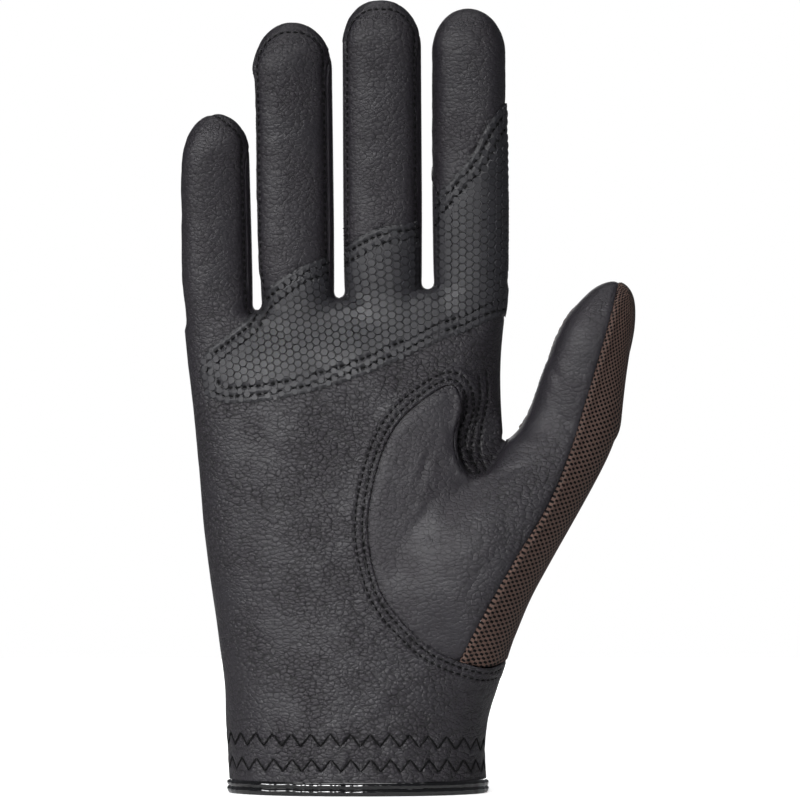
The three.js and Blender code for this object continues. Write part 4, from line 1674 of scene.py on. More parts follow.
@dataclass
class Stitching:
    """All rows of stitches on the glove."""

    hand: HandForm
    seams: SeamPlan
    pitch: float = 2.0
    length: float = 1.4
    width: float = 0.45
    height: float = 0.4
    shortest: float = 3.0  # a shorter row isn't sewn
    lift: float = 0.05  # how far a stitch's middle stands over the leather, and over the patch
    patch_lift: float = 0.2
    zigzag_lift: float = 0.08
    zigzag_width: float = 0.45 * 1.35
    zigzag_overlap: float = 1.08  # a zigzag stitch's length, of the way between two corners
    cuff_arc: tuple[float, float, int] = (-196.0, 16.0, 900)  # its zigzags' ends in degrees, steps
    finger_window: tuple[float, ...] = (-52.0, 46.0, 126.0, 223.0)  # across and up round the fingers
    trace_step: float = 0.4
    oval_rows: tuple[float, float] = (1.5, 3.5)
    patch_rows: tuple[float, float] = (2.0, 4.4)
    oval_start: int = 24  # the first point of the oval that is sewn
    tongue_row: tuple = ((33.9, 117.0), (34.2, 109.8), (32.6, 101.4), (31.8, 94.8), (33.8, 89.5))
    tongue_step: tuple[float, float] = (2.2, 0.8)  # from its first row to its second
    zigzags: tuple = ((15.6, 2.6), (8.6, 1.0))  # each one's height, and how far its right end drops

    def _laid(self, flat: Array) -> list[Row]:
        """Rows of a flat line on the palm's side.

        Args:
            flat: The line's points across and up.

        Returns:
            The rows.
        """
        places, on = self.hand.front_of(flat)
        rows = []
        for run in runs_of(places, on):
            points, normals = self.hand.seat(run, 1)
            rows.append(Row(points, normals))
        return rows

    def oval(self) -> list[Row]:
        """The double row outside the oval seam, from the recess round to the outer side.

        Returns:
            The rows.
        """
        line = self.seams.oval[self.oval_start :]
        lines = [offset_line(line, -inset) for inset in self.oval_rows]
        tongue = smooth_line(list(self.tongue_row))
        lines += [tongue, tongue + np.array(self.tongue_step)]
        return [row for each in lines for row in self._laid(each)]

    def patch(self) -> list[Row]:
        """The double row inside the patch's border.

        Returns:
            The rows.
        """
        rows = []
        border = np.vstack([self.seams.patch_bottom, self.seams.patch_top[1:]])
        for inset in self.patch_rows:
            rows += self._laid(offset_line(border, -inset))
        return rows

    def finger_edges(self) -> list[Row]:
        """The rows along the fingers' front seams and round their tips.

        Returns:
            The rows.
        """
        step = self.trace_step
        left, right, low, high = self.finger_window
        x, z = np.arange(left, right, step), np.arange(low, high, step)
        grid = np.stack(np.meshgrid(x, z, indexing="ij"), -1).reshape(-1, 2)
        places = np.stack([grid[:, 0], np.zeros(len(grid)), grid[:, 1]], 1)
        places[:, 1] = self.seams.sewn(places)
        values = self.hand.at(places).reshape(len(x), len(z))
        rows = []
        for line in contour(values):
            flat = line * step + np.array([x[0], z[0]])
            points = np.stack([flat[:, 0], np.zeros(len(flat)), flat[:, 1]], 1)
            points[:, 1] = self.seams.sewn(points)
            height = self.hand.palm_up(points[:, 0], points[:, 2]) * PALM_LENGTH
            good = (points[:, 1] < 1.0) & (height > PALM_LENGTH - 3.0)
            for run in runs_of(points, good, 20):
                seated, normals = self.hand.seat(run, 2)
                shown = normals[:, 1] < -0.1
                both = np.hstack([seated, normals])
                rows += [Row(part[:, :3], part[:, 3:]) for part in runs_of(both, shown, 20)]
        return rows

    def zigzag(self, middle: float, droop: float, swing: float = 1.75, half: float = 2.75) -> Row:
        """One zigzag row round the front of the cuff.

        Args:
            middle: Its height at the left.
            droop: How much lower it is at the right.
            swing: How far it goes up and down.
            half: The distance from one corner to the next.

        Returns:
            The row, whose points are its corners.
        """
        turn = np.radians(np.linspace(*self.cuff_arc))
        flat = np.zeros(len(turn))
        inner = np.stack([flat, flat, flat + middle], 1)
        outer = inner + REACH * np.stack([np.cos(turn), np.sin(turn), flat], 1)
        ring = self.hand.crossing(inner, outer)
        run = run_of(ring)
        count = int(run[-1] / half)
        stops = np.linspace(0, run[-1], count + 1)
        corners = read_along(stops, run, ring)
        share = stops / run[-1]
        up_down = swing * (-1.0) ** np.arange(count + 1)
        corners[:, 2] = middle - droop * ease(0.55, 1.0, share) + up_down
        points, normals = self.hand.seat(corners, 3)
        return Row(points, normals)


def contour(values: Array) -> list[Array]:
    """The lines where a flat grid of values crosses zero, in grid steps.

    Args:
        values: The grid.

    Returns:
        One array of points for each line.
    """
    ends: dict[tuple, list] = {}
    places: dict[tuple, tuple[float, float]] = {}
    low = values < 0
    busy = low[:-1, :-1].astype(int) + low[1:, :-1] + low[:-1, 1:] + low[1:, 1:]
    for i, j in np.argwhere((busy > 0) & (busy < 4)):
        found = []
        square = ((i, j, i + 1, j), (i + 1, j, i + 1, j + 1), (i, j + 1, i + 1, j + 1), (i, j, i, j + 1))
        for a, b, c, d in square:
            if low[a, b] != low[c, d]:
                share = values[a, b] / (values[a, b] - values[c, d])
                key = (int(a), int(b), int(c), int(d))
                places[key] = (a + (c - a) * share, b + (d - b) * share)
                found.append(key)
        for first, second in zip(found[::2], found[1::2]):
            ends.setdefault(first, []).append(second)
            ends.setdefault(second, []).append(first)
    lines = []
    while ends:
        start = next((key for key, links in ends.items() if len(links) == 1), next(iter(ends)))
        line, key = [start], start
        while ends.get(key):
            following = ends[key].pop()
            if not ends[key]:
                del ends[key]
            if following in ends:
                if key in ends[following]:
                    ends[following].remove(key)
                if not ends[following]:
                    del ends[following]
            line.append(following)
            key = following
        ends.pop(start, None)
        lines.append(np.array([places[key] for key in line]))
    return lines


# The panels
@dataclass
class Panels:
    """The glove's leather and mesh panels, cut from one surface along its seams."""

    hand: HandForm
    seams: SeamPlan
    rows: dict[str, list[Row]]
    wall: float = 1.15
    patch_wall: float = 0.5
    gap: float = 0.06
    lap: float = 0.5  # how far the palm's leather stands over the thumb's round the oval
    lap_reach: tuple[float, float] = (4.2, 6.5)
    bead: float = 0.3  # how far a sewn edge stands up, and how far its very border falls
    bead_reach: tuple[float, float] = (0.9, 1.8)
    border_reach: tuple[float, float] = (0.0, 0.4)
    groove: float = 0.3  # how deep a row of stitches draws the palm's leather in
    patch_groove: float = 0.4
    mesh_fold: float = 0.85  # how far the rolled fold beside the thumb's mesh stands up
    fold_place: tuple[float, float] = (1.25, 0.8)  # its middle and half width from the seam
    thumb_sink: float = 0.45  # how far the thumb's leather lies under the palm's
    cuff_radius: float = 33.0
    gathers: tuple[float, float] = (16.0, 27.0)  # the heights over which the cuff's folds fade
    sewn_reach: float = 1.1  # how near a row of stitches the triangles are halved
    thumb_axis: tuple[float, float] = (0.54, 1.0)  # how the thumb leans, across and up
    thumb_middle: tuple[float, float] = (66.0, 120.0)
    thumb_radius: float = 11.0
    seam_reach: float = 0.3  # how near a seam's field is to zero on a panel's border there

    def finer(self, net: Net, rows: list[Row]) -> Net:
        """The panel with smaller triangles near rows of stitches.

        Args:
            net: The panel.
            rows: The rows that cross it.

        Returns:
            The finer panel.
        """
        away, _ = nearest(net.points, np.vstack([row.points for row in rows]))
        net = net.refined((away < self.sewn_reach).take(net.faces).any(1))
        inner = np.ones(len(net.points), bool)
        inner[np.unique(net.rim())] = False
        net.points[inner], net.normals[inner] = self.hand.seat(net.points[inner], 2)
        return net

    def cut(self) -> dict[str, Net]:
        """Cuts the surface into its panels.

        Returns:
            The panels by their nodes' names.
        """
        net = SurfaceNet(self.hand).build()
        net = net.split(net.points[:, 2] - HEM, "up")
        net = Net(net.points, net.faces[net.marks["up"]], net.normals)
        net = net.split(self.seams.thumb(net.points), "thumb")
        net = net.split(self.seams.thumb_mesh(net.points), "thumb_mesh", net.marks["thumb"])
        net = net.split(self.seams.back(net.points), "back", ~net.marks["thumb"])
        rest = ~net.marks["thumb"] & ~net.marks["back"]
        net = net.split(self.seams.strip(net.points), "strip", rest)
        marks = net.marks
        rest = ~marks["thumb"] & ~marks["back"]
        panels = {
            "thumb_leather": net.part(marks["thumb"] & ~marks["thumb_mesh"]),
            "thumb_mesh": net.part(marks["thumb"] & marks["thumb_mesh"]),
            "back_mesh": net.part(~marks["thumb"] & marks["back"]),
            "palm_leather": net.part(rest & ~marks["strip"]),
        }
        middle = net.points[net.faces].mean(1)[:, 0]
        fingers = self.hand.fingers
        for left, right in zip(fingers[:-1], fingers[1:]):
            between = (middle > left.centre) & (middle < right.centre)
            strip = net.part(rest & marks["strip"] & between)
            panels[f"fourchette_{left.name}_{right.name}"] = strip
        leather = panels["palm_leather"]
        marked = leather.split(self.seams.patch(leather.points), "patch")
        panels["grip_patch"] = marked.part(marked.marks["patch"])
        return panels

    def row_notes(self, net: Net, rows: list[Row], width: float = 0.52) -> Array:
        """Notes on each point how near it is to a row of stitches, and how far along the row.

        Args:
            net: The panel.
            rows: The rows that may lie on it.
            width: How wide a row's groove is.

        Returns:
            The groove's depth at each point, from 0 to 1.
        """
        dense, runs = [], []
        for row in rows:
            run = row.lengths()
            stops = np.arange(0, run[-1], 0.3)
            dense.append(read_along(stops, run, row.points))
            runs.append(stops)
        away, number = nearest(net.points, np.vstack(dense))
        net.notes["run"] = np.concatenate(runs)[number]
        net.notes["row"] = ridge(away, 0, width)
        return net.notes["row"]

    def grain(self, points: Array) -> Array:
        """How strong the pebble grain is: full in the palm, fainter on the fingers."""
        return mix(1.0, 0.6, ease(112, 150, points[:, 2]))

    def palm(self, net: Net) -> Net:
        """The palm's leather, whose oval edge lies on the thumb's.

        Args:
            net: The panel.

        Returns:
            The raised panel.
        """
        p = net.points
        on_oval = lambda q: np.abs(self.seams.thumb(q)) < self.seam_reach
        from_oval = net.rim_distance(on_oval)
        edge = net.rim_distance(lambda q: ~on_oval(q) & (q[:, 2] > 60))
        rows = self.rows["oval"] + self.rows["fingers"] + self.rows["cuff"]
        groove = self.row_notes(net, rows)
        facing = fade(-0.75, -0.2, net.normals[:, 1])
        # the tongue is the strip of this leather in the recess, under the thumb's
        tongue = ease(27, 30, p[:, 0]) * ease(82, 86, p[:, 2]) * fade(108, 116, p[:, 2])
        height = self.lap * fade(*self.lap_reach, from_oval) * (1 - tongue) * facing
        height -= 0.25 * fade(0.0, 0.45, from_oval) * (1 - tongue)
        height -= 0.5 * tongue * fade(0, 2.5, from_oval)
        bead = fade(*self.bead_reach, edge) - fade(*self.border_reach, edge)
        height += self.bead * bead - self.groove * groove
        beside = self.seams.patch(p)
        height -= 0.2 * ease(0.0, 1.2, beside) + 0.15 * ridge(beside, -0.2, 0.6)
        # painted shadow: besides the stitch grooves, the row note darkens a thin line of the palm's
        # leather just outside the patch's edge, as the patch's cast shadow
        net.notes["row"] = np.maximum(groove, 0.8 * ridge(beside, -0.1, 0.4))
        height += self.cuff_gathers(p) + creases(p) + self.turned(p)
        net.notes["grain"] = self.grain(p)
        net.raise_by(height)
        return net

    def turned(self, p: Array) -> Array:
        """The height that turns each finger's front to one side, with a soft edge at its sides.

        Args:
            p: The points.

        Returns:
            The heights.
        """
        height = np.zeros(len(p))
        for finger, turn in zip(self.hand.fingers, FINGER_TURN):
            section = self.hand.finger_section(finger, p[:, 2])
            u = (p[:, 0] - section.middle) / section.half
            on = ease(finger.foot - 4, finger.foot + 12, p[:, 2]) * (np.abs(u) < 1.05)
            on *= fade(finger.top - 14, finger.top - 5, p[:, 2])
            on *= ease(-1.5, -4.0, p[:, 1] - section.centre)
            edges = 0.2 * (ridge(u, -0.64, 0.2) + ridge(u, 0.68, 0.18))
            height += on * (edges - turn * np.clip(u, -0.8, 0.8))
        return height

    def cuff_gathers(self, p: Array) -> Array:
        """The soft folds round the zigzag rows at the cuff.

        Args:
            p: The points.

        Returns:
            The heights.
        """
        run = np.arctan2(p[:, 1], p[:, 0]) * self.cuff_radius
        low = fade(*self.gathers, p[:, 2])
        wave = np.sin(run * 2 * np.pi / 6.3 + 0.9 * np.sin(run / 5) + p[:, 2] * 0.22)
        slow = np.sin(run * 2 * np.pi / 15.5 + 1.3)
        return (0.07 * wave + 0.09 * slow) * low

    def thumb(self, net: Net) -> Net:
        """The thumb's leather, which runs under the palm's but over its tongue in the recess.

        Args:
            net: The panel.

        Returns:
            The raised panel.
        """
        p = net.points
        near_mesh = lambda q: np.abs(self.seams.thumb_mesh(q)) < self.seam_reach
        rim = net.rim_distance(lambda q: ~near_mesh(q))
        recess = ease(25, 28, p[:, 0]) * ease(84, 88, p[:, 2])
        fold = net.rim_distance(near_mesh)
        height = -self.thumb_sink * fade(0.2, 2.2, rim) * (1 - recess)
        facing = fade(-0.6, -0.1, net.normals[:, 1])
        height += 0.4 * recess * facing * (ridge(rim, 0.9, 0.8) - 0.5 * fade(0, 0.4, rim))
        height -= 0.3 * fade(0.0, 0.9, fold)
        height += creases(p)
        net.notes["row"] = np.zeros(len(p))
        net.notes["run"] = np.zeros(len(p))
        net.notes["grain"] = mix(0.45, 0.9, ease(24, 45, p[:, 0]) * fade(85, 105, p[:, 2]))
        net.raise_by(height)
        return net

    def thumb_mesh(self, net: Net) -> Net:
        """The thumb's mesh, folded back along the seam.

        Args:
            net: The panel.

        Returns:
            The raised panel.
        """
        p = net.points
        near_mesh = lambda q: np.abs(self.seams.thumb_mesh(q)) < self.seam_reach
        on_front = lambda q: near_mesh(q) & (q[:, 1] < 2)
        fold = net.rim_distance(on_front)
        rim = net.rim_distance()
        top = THUMB_CROTCH + THUMB_LENGTH
        fading = fade(top - 9, top - 2.5, p[:, 2])
        height = self.mesh_fold * fading * ridge(fold, *self.fold_place) - 0.3 * fade(0, 0.5, rim)
        net.notes["knit"] = self.thumb_knit(p)
        net.raise_by(height)
        return net

    def thumb_knit(self, p: Array) -> Array:
        """The knit's own axes on the thumb: round it and along it.

        Args:
            p: The points.

        Returns:
            The places on both, in millimetres.
        """
        axis = unit(np.array([self.thumb_axis]))[0]
        flat = p[:, [0, 2]] - np.array(self.thumb_middle)
        along = flat @ axis
        across = flat @ np.array([axis[1], -axis[0]])
        section = self.hand.thumb_section(p[:, 2])
        beside = np.maximum(np.abs(across), 0.1) * np.sign(across + 1e-6)
        turn = np.arctan2(p[:, 1] - section.centre, beside)
        return np.stack([turn * self.thumb_radius, along], 1)

    def back(self, net: Net) -> Net:
        """The mesh of the back.

        Args:
            net: The panel.

        Returns:
            The raised panel.
        """
        net.raise_by(-0.3 * fade(0, 1.4, net.rim_distance()))
        net.notes["knit"] = flattened(net, 50)
        return net

    def strip(self, net: Net) -> Net:
        """A strip between two fingers.

        Args:
            net: The panel.

        Returns:
            The raised panel.
        """
        for note, value in (("row", 0.0), ("run", 0.0), ("grain", 0.25)):
            net.notes[note] = np.full(len(net.points), value)
        net.raise_by(-0.35 * fade(0, 1.5, net.rim_distance()))
        return net

    def patch(self, net: Net) -> Net:
        """The grip patch's backing, raised on the palm and drawn down by its stitches.

        Args:
            net: The panel.

        Returns:
            The raised panel.
        """
        p = net.points
        border = lambda q: np.abs(self.seams.patch(q)) < self.seam_reach
        rim = net.rim_distance(border)
        edge = net.rim_distance(lambda q: ~border(q))
        groove = self.row_notes(net, self.rows["patch"] + self.rows["fingers"], 0.65)
        height = 0.04 + 0.38 * ease(0, 1.1, rim) - self.patch_groove * groove
        # the row note is also raised along the patch's own border, so the shader darkens that edge in
        # dashes
        net.notes["row"] = np.maximum(groove, 0.75 * fade(0.1, 0.7, rim))
        height += 0.2 * fade(0.9, 1.8, edge) - 0.35 * fade(0, 0.4, edge)
        height += creases(p) + self.turned(p)
        net.notes["grain"] = np.full(len(p), 0.2)
        net.raise_by(height)
        return net


def flattened(net: Net, rounds: int = 300) -> Array:
    """Lays a panel flat with little stretch, its rest points across and up in millimetres.

    Args:
        net: The panel.
        rounds: How many steps of the conjugate gradient method are taken.

    Returns:
        Two columns, one row for each point.
    """
    p, count = net.rest, len(net.rest)
    a, b, c = (p[net.faces[:, i]] for i in range(3))
    normal = np.cross(b - a, c - a)
    area = np.maximum(np.linalg.norm(normal, axis=1, keepdims=True), 1e-6)
    normal = normal / area
    up = unit(np.array([0, 0, 1.0]) - normal * normal[:, 2:])
    slopes = [np.cross(normal, side) / area for side in (c - b, a - c, b - a)]

    def gather(vectors: Array) -> Array:
        """Adds what each face pulls its corners by."""
        pulls = [((slope * vectors).sum(1) * area[:, 0]) for slope in slopes]
        return sum(np.bincount(net.faces[:, i], pull, count) for i, pull in enumerate(pulls))

    def pulled(values: Array) -> Array:
        """The pull that belongs to one number on each point."""
        return gather(sum(values[net.faces[:, i], None] * slope for i, slope in enumerate(slopes)))

    weight = sum(
        np.bincount(net.faces[:, i], (slope**2).sum(1) * area[:, 0], count)
        for i, slope in enumerate(slopes)
    )
    columns = []
    for wanted, start in ((np.cross(up, normal), p[:, 0]), (up, p[:, 2])):
        values = start.copy()
        left = gather(wanted) - pulled(values)
        way = left / weight
        size = left @ way
        for _ in range(rounds):
            step = pulled(way)
            share = size / max(way @ step, 1e-12)
            values += share * way
            left -= share * step
            eased = left / weight
            size, before = left @ eased, size
            way = eased + size / max(before, 1e-12) * way
        columns.append(values - (values - start).mean())
    return np.stack(columns, 1)


# x and z of both ends, depth, width: creases worn into the leather
CREASES = (
    (24.5, 86.0, 14.0, 71.0, 0.14, 2.6), (27.5, 84.0, 21.0, 66.0, 0.12, 2.4),
    (33.5, 85.5, 31.0, 72.0, 0.06, 2.6), (37.0, 88.0, 47.0, 93.0, 0.3, 2.2),
    (38.0, 84.0, 51.0, 84.5, 0.12, 2.4), (44.0, 72.0, 30.0, 56.0, 0.09, 3.4),
    (36.0, 64.0, 26.0, 46.0, 0.08, 3.0), (21.0, 96.0, 17.0, 84.0, 0.25, 2.0),
    (-20.0, 110.0, 4.0, 92.0, 0.3, 3.0), (-34.0, 106.0, -12.0, 86.0, 0.25, 3.0),
    (-8.0, 14.0, 22.0, 30.0, 0.25, 3.0), (2.0, 22.0, 33.0, 40.0, 0.2, 3.2),
    (12.0, 16.0, 34.0, 24.0, 0.2, 2.6), (56.0, 108.0, 60.5, 100.0, 0.3, 2.0),
    (54.0, 122.0, 58.0, 112.0, 0.25, 2.2),
)


def creases(p: Array) -> Array:
    """The soft unevenness of worn leather, and the creases on the palm's side.

    Args:
        p: The points, three columns.

    Returns:
        The heights.
    """
    facing = fade(-4.0, 2.0, p[:, 1])
    finger = ease(134, 150, p[:, 2])
    broad = 0.30 * swell(p, (13, 13, 17), 5) + 0.16 * swell(p, (6, 6, 7), 6)
    ribs = 0.13 * swell(p, (7.5, 7.5, 2.6), 7) + 0.07 * swell(p, (4.5, 4.5, 1.7), 8)
    height = broad * mix(0.8, 0.7, finger) + ribs * mix(0.25, 0.75, finger)
    height *= 0.35 + 0.65 * facing
    for x0, z0, x1, z1, depth, width in CREASES:
        step = np.array([x1 - x0, z1 - z0])
        away = p[:, [0, 2]] - np.array([x0, z0])
        share = np.clip(away @ step / (step @ step), 0, 1)
        bow = 0.9 * np.sin(share * math.pi) + 0.4 * np.sin(share * 9)
        side = away - share[:, None] * step
        gap = np.hypot(side[:, 0], side[:, 1])
        signed = (away[:, 0] * step[1] - away[:, 1] * step[0]) / np.linalg.norm(step) - bow
        ends = np.sin(np.clip(share, 0.02, 0.98) * math.pi) ** 0.6
        near = np.where(gap > 3 * width, 0, 1)
        valley = ridge(signed, 0, width * 0.45)
        sides = sum(ridge(signed, width * place, width * 0.6) for place in (0.9, -0.9))
        height -= near * ends * depth * (valley - 0.45 * sides) * facing
    return height


@dataclass
class GripHexagons:
    """The raised hexagons embossed on the grip patch."""

    hand: HandForm
    pitch: float = 2.2
    groove: float = 0.14
    height: float = 0.3
    slant: float = -0.14  # how the rows climb across the palm
    levelling: tuple[float, float] = (-8.0, 24.0)  # where they turn level, across the palm
    middle: float = 122.0  # the patch's middle height

    def cell_place(self, flat: Array) -> Array:
        """The place in the pattern of points of the flattened patch. Its rows climb in the palm.

        Args:
            flat: The flattened points.

        Returns:
            Their places in the pattern.
        """
        s, t = flat[:, 0], flat[:, 1]
        weight = fade(*self.levelling, s)
        inner = np.linspace(-60, 60, 600)
        total = np.cumsum(fade(*self.levelling, inner)) * (inner[1] - inner[0])
        shift = self.slant * np.interp(s, inner, total)
        return np.stack([s - self.slant * weight * (t - self.middle), t + shift], 1)

    def build(self, net: Net, finish: Any) -> bpy.types.Object:
        """Sets the hexagons on the patch.

        Args:
            net: The patch's outer surface.
            finish: Their material.

        Returns:
            The piece.
        """
        place = self.cell_place(flattened(net))
        low, high = place.min(0) - 2, place.max(0) + 2
        across = np.arange(low[0], high[0], self.pitch * math.sqrt(3) / 2)
        spots = []
        for number, s in enumerate(across):
            t = np.arange(low[1], high[1], self.pitch) + (number % 2) * self.pitch / 2
            spots.append(np.stack([np.full(len(t), s), t], 1))
        spots = np.vstack(spots)
        solid = tree_of(net.rest)
        rim = net.rim_distance()
        centres = np.array([finger.centre for finger in self.hand.fingers])
        group = np.abs(net.rest[:, :1] - centres).argmin(1)
        at, along, size = [], [], []
        for finger in range(len(centres)):
            members = np.flatnonzero(group == finger)
            tree = tree_of(np.hstack([place[members], np.zeros((len(members), 1))]))
            for spot in spots:
                _, found, away = tree.find((spot[0], spot[1], 0))
                first = members[found]
                if away > 0.7 or rim[first] < 0.45 or net.notes["row"][first] > 0.8:
                    continue
                numbers = [n for _, n, _ in solid.find_range(net.rest[first], 1.8)]
                near = net.rest[numbers]
                flat = np.hstack([np.ones((len(numbers), 1)), place[numbers] - spot])
                if len(numbers) < 5 or np.abs(flat[:, 1:]).max() > 3.5:
                    continue
                fit, *_ = np.linalg.lstsq(flat, near, rcond=None)
                if at and (((np.array(at)[:, :3] - fit[0]) ** 2).sum(1) < 1.0).any():
                    continue
                raised = ((net.points[numbers] - near) * self.hand.slope(near)).sum(1).mean()
                at.append([*fit[0], raised])
                along.append(fit[1])
                row = net.notes["row"][numbers].mean()
                facing = ease(0.1, 0.55, -self.hand.slope(fit[:1])[0, 1])
                pressed = (1 - 0.75 * row) * mix(0.15, 1.0, facing)
                room = min(1.0, (rim[first] + 0.15) / 1.1) * (1 - 0.3 * row)
                wide = np.clip(np.linalg.norm(fit[1:], axis=1), 0.85, 1.1)
                size.append([*wide * room, pressed])
        stretch = np.array(size)
        at = np.array(at)
        at[:, :3], out = self.hand.seat(at[:, :3], 2)
        at = at[:, :3] + out * at[:, 3:]
        corner = (self.pitch - self.groove) * 2 / math.sqrt(3)
        copies = SetOut(Copies.HEXAGON, corner, corner, self.height)
        LOG.info("grip hexagons: %d", len(at))
        return copies.build("grip_hexagons", at, unit(np.array(along)), out, finish, stretch)


@dataclass
class CuffBinding:
    """The glossy band folded over the hem, with two ridges."""

    hand: HandForm
    sides: int = 400
    middle: float = 2.0  # its middle height
    dents: float = 0.22  # how uneven its front is
    profile: tuple = (
        (-0.1, 0.55), (0.25, 0.15), (0.62, 0.75), (0.75, 1.25), (0.62, 1.75), (0.3, 2.1),
        (0.62, 2.5), (0.72, 3.0), (0.6, 3.5), (0.25, 3.95), (-0.3, 4.1), (-1.9, 4.0),
        (-2.3, 3.6), (-2.3, 0.6), (-1.9, 0.2), (-0.9, 0.05),
    )

    def build(self, finish: Any) -> bpy.types.Object:
        """Makes the band.

        Args:
            finish: Its material.

        Returns:
            The piece.
        """
        turn = np.linspace(0, 2 * math.pi, self.sides, endpoint=False)
        inner = np.zeros((self.sides, 3))
        inner[:, 2] = self.middle
        outer = inner + REACH * np.stack([np.cos(turn), np.sin(turn), np.zeros(self.sides)], 1)
        ring, normals = self.hand.seat(self.hand.crossing(inner, outer), 1)
        normals[:, 2] = 0
        normals = unit(normals)
        wobble = 0.7 * swell(ring, (2.4, 2.4, 2.4), 11) + 0.5 * swell(ring, (1.1, 1.1, 1.1), 12)
        rings = []
        for out, up in self.profile:
            bump = (self.dents if out > 0 else 0.0) * wobble
            level = ring + normals * (out + bump)[:, None]
            level[:, 2] = np.maximum(up + bump * (0.2 < up < 3.8), 0.05)
            rings.append(level)
        count = len(rings)
        faces = []
        for level in range(count):
            low, high = level * self.sides, (level + 1) % count * self.sides
            for side in range(self.sides):
                following = (side + 1) % self.sides
                a, b, c, d = low + side, low + following, high + side, high + following
                faces += [(a, b, d), (a, d, c)]
        net = Net(np.vstack(rings), np.array(faces), np.zeros((count * self.sides, 3)))
        return make_object("hem_binding", net, [finish], 60)


@dataclass
class Studio:
    """A white floor, soft lights and the camera of the product shot."""

    distance: float = 1.75
    aim: tuple[float, float] = (0.0118, 0.1098)
    frame_width: float = 0.224
    lights: tuple = (  # name, place, what it points at, side, watts, spread in degrees
        ("key", (-0.95, -0.9, 0.5), (0.0, 0.0, 0.0), 0.5, 0.42, 32.0),
        ("front", (-0.25, -1.35, 0.45), (0.0, 0.0, 0.05), 0.4, 0.38, 28.0),
        ("top", (-0.1, -0.1, 1.1), (0.0, 0.0, 0.1), 0.5, 2.5, 180.0),
        ("behind", (0.0, 1.3, 0.4), (0.0, 0.0, 0.1), 0.8, 5.0, 180.0),
    )

    def build(self) -> None:
        """Makes the floor, the lights, the world and the camera."""
        scene = bpy.context.scene
        scene.view_settings.view_transform = "Standard"
        scene.view_settings.look = "None"
        data = bpy.data.cameras.new("camera")
        data.sensor_width = 36.0
        data.lens = 36.0 * self.distance / self.frame_width
        camera = add_object("camera", data)
        camera.location = (self.aim[0], -self.distance, self.aim[1])
        camera.rotation_euler = (math.pi / 2, 0, 0)
        scene.camera = camera
        self._world(scene)
        self._floor()
        for light in self.lights:
            self._light(*light)

    def _world(self, scene: bpy.types.Scene) -> None:
        """White behind the glove, and grey as what lights it.

        Args:
            scene: The scene that it is for.
        """
        world = bpy.data.worlds.new("studio")
        scene.world = world
        world.use_nodes = True
        tree = world.node_tree
        tree.nodes.clear()
        seen = add_node(tree, "ShaderNodeLightPath").outputs["Is Camera Ray"]
        behind = add_node(tree, "ShaderNodeBackground", None, {"Color": (1, 1, 1, 1), "Strength": 1.0})
        around = add_node(
            tree, "ShaderNodeBackground", None, {"Color": (0.92, 0.94, 1, 1), "Strength": 0.1}
        )
        mixed = add_node(tree, "ShaderNodeMixShader", None, {0: seen, 1: around, 2: behind})
        add_node(tree, "ShaderNodeOutputWorld", None, {0: mixed})

    def _floor(self) -> None:
        """The floor under the glove."""
        net = Net(
            np.array([(-900, -900, 0), (900, -900, 0), (900, 900, 0), (-900, 900, 0)], float),
            np.array([(0, 1, 2), (0, 2, 3)]), np.zeros((4, 3)),
        )
        material, tree, shader = new_material("white_floor")
        shader.inputs["Base Color"].default_value = (0.85, 0.85, 0.85, 1)
        shader.inputs["Roughness"].default_value = 0.95
        shader.inputs["Specular IOR Level"].default_value = 0.0
        shader.inputs["Emission Color"].default_value = (1, 1, 1, 1)
        seen = add_node(tree, "ShaderNodeLightPath").outputs["Is Camera Ray"]
        glow = add_node(tree, MATH, TIMES, {0: seen, 1: 0.8})
        tree.links.new(glow.outputs[0], shader.inputs["Emission Strength"])
        floor = make_object("floor", net, [material])

    def _light(
        self, name: str, at: tuple, to: tuple, size: float, power: float, spread: float
    ) -> None:
        """A square soft light.

        Args:
            name: Its name.
            at: Where it stands, in metres.
            to: What it points at.
            size: Its side.
            power: Its strength in watts.
            spread: The angle in degrees that it reaches.
        """
        data = bpy.data.lights.new(name, "AREA")
        data.size = size
        data.energy = power
        data.spread = math.radians(spread)
        lamp = add_object(name, data)
        lamp.location = at
        lamp.rotation_euler = (Vector(to) - Vector(at)).to_track_quat("-Z", "Y").to_euler()


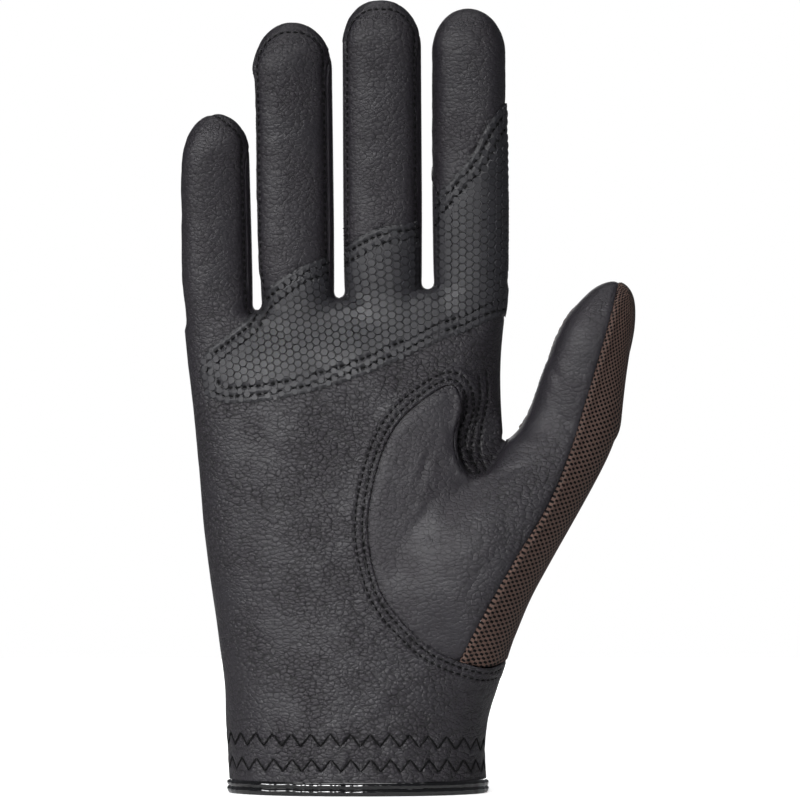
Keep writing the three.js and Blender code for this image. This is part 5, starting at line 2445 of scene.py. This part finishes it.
@dataclass
class Glove:
    """The whole glove, piece by piece."""

    hand: HandForm = field(default_factory=HandForm)
    skin_reach: float = 1.6  # how near a skin a stitch has to be

    def finish(self, piece: bpy.types.Object, slot: str, *nodes: str) -> None:
        """Ties a piece to the frame and reports it.

        Args:
            piece: The piece.
            slot: Not used.
            nodes: The solids whose place it takes.
        """
        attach(piece, "root")
        if nodes:
            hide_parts(*nodes)
        LOG.info("%s: %d faces", piece.name, len(piece.data.polygons))

    def build(self) -> None:
        """Builds the panels, the patch, the binding and the stitches."""
        leather = GrainLeather().build()
        knit = KnitMesh().build()
        grip = GrainLeather(
            name="grip_leather", base="#2a2a2e", tint="#2b2a2e", grain=0.8, grain_depth=0.03,
            wrinkle_depth=0.03, roughness=0.48,
        ).build()
        patent = SmoothFinish("patent_leather", "#0b0b0d", 0.14, 1.0, 0.5, 0.1, 1.2).build()
        thread = SmoothFinish("sewing_thread", "#070708", 0.75, 0.0, 0.2, 0.05, 0.3).build()
        seams = SeamPlan(self.hand)
        sewing = Stitching(self.hand, seams)
        rows = {
            "cuff": [sewing.zigzag(*row) for row in sewing.zigzags],
            "oval": sewing.oval(), "patch": sewing.patch(), "fingers": sewing.finger_edges(),
        }
        panels = Panels(self.hand, seams, rows)
        nets = panels.cut()
        shaped = {
            "palm_leather": (panels.palm, leather, "leather"),
            "thumb_leather": (panels.thumb, leather, "leather"),
            "thumb_mesh": (panels.thumb_mesh, knit, "mesh_knit"),
            "back_mesh": (panels.back, knit, "mesh_knit"),
            "grip_patch": (panels.patch, grip, "grip"),
        }
        skins: dict[str, Net] = {}
        for name, net in nets.items():
            shape, material, slot = shaped.get(name, (panels.strip, leather, "leather"))
            if name in ("palm_leather", "grip_patch"):
                near = rows["patch"] if name == "grip_patch" else rows["oval"] + rows["cuff"]
                net = panels.finer(net, near + rows["fingers"])
            net.pull_in(panels.gap)
            shaped_net = shape(net)
            shaped_net.face_normals()
            skins[name] = shaped_net
            wall = panels.patch_wall if name == "grip_patch" else panels.wall
            piece = make_object(f"{name}_panel", shaped_net.walled(wall), [material])
            self.finish(piece, slot, name)
        self.finish(GripHexagons(self.hand).build(skins["grip_patch"], grip), "grip")
        self.finish(CuffBinding(self.hand).build(patent), "binding", "cuff_binding")
        self.stitches(sewing, rows, skins, thread)

    def stitches(
        self, sewing: Stitching, rows: dict[str, list[Row]], skins: dict[str, Net], thread: Any
    ) -> None:
        """Sews the rows, each stitch seated on the skin that it lies on.

        Args:
            sewing: The stitches' sizes.
            rows: The rows by name.
            skins: The panels' outer surfaces.
            thread: Their material.
        """
        skin_of = {"oval": "palm_leather", "patch": "grip_patch", "fingers": "palm_leather"}
        for name, skin_name in skin_of.items():
            skin = skins[skin_name]
            long = [row for row in rows[name] if row.lengths()[-1] > sewing.shortest]
            sampled = [row.sample(sewing.pitch) for row in long]
            at, along, out = (np.vstack([s[i] for s in sampled]) for i in range(3))
            lift = sewing.patch_lift if name == "patch" else sewing.lift
            at, kept = self.on_skin(at, out, skin, lift)
            copies = SetOut(Copies.STITCH, sewing.length, sewing.width, sewing.height)
            piece = copies.build(f"stitches_{name}", at[kept], along[kept], out[kept], thread)
            self.finish(piece, "leather")
        for number, row in enumerate(rows["cuff"]):
            middle = (row.points[1:] + row.points[:-1]) / 2
            along = np.diff(row.points, axis=0)
            out = unit(row.normals[1:] + row.normals[:-1])
            at, kept = self.on_skin(middle, out, skins["palm_leather"], sewing.zigzag_lift)
            stretch = np.ones((len(at), 3))
            stretch[:, 0] = np.linalg.norm(along, axis=1) * sewing.zigzag_overlap
            copies = SetOut(Copies.STITCH, 1.0, sewing.zigzag_width, sewing.height)
            piece = copies.build(
                f"zigzag_{number + 1}", at[kept], unit(along[kept]), out[kept], thread, stretch[kept]
            )
            self.finish(piece, "leather")

    def on_skin(self, at: Array, out: Array, skin: Net, lift: float) -> tuple[Array, Array]:
        """Moves places a lift above a skin's nearest points, and says which are near enough.

        Args:
            at: The places.
            out: The outward directions there.
            skin: The skin.
            lift: How far above it they go.

        Returns:
            The places, and which are near enough.
        """
        away, number = nearest(at, skin.points)
        height = ((skin.points[number] - at) * out).sum(1)
        return at + out * (height + lift)[:, None], away < self.skin_reach


def main() -> None:
    """Builds the studio and the glove."""
    logging.basicConfig(level=logging.INFO, format="%(name)s: %(message)s")
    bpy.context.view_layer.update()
    Studio().build()
    Glove().build()


if __name__ == "__main__":
    main()
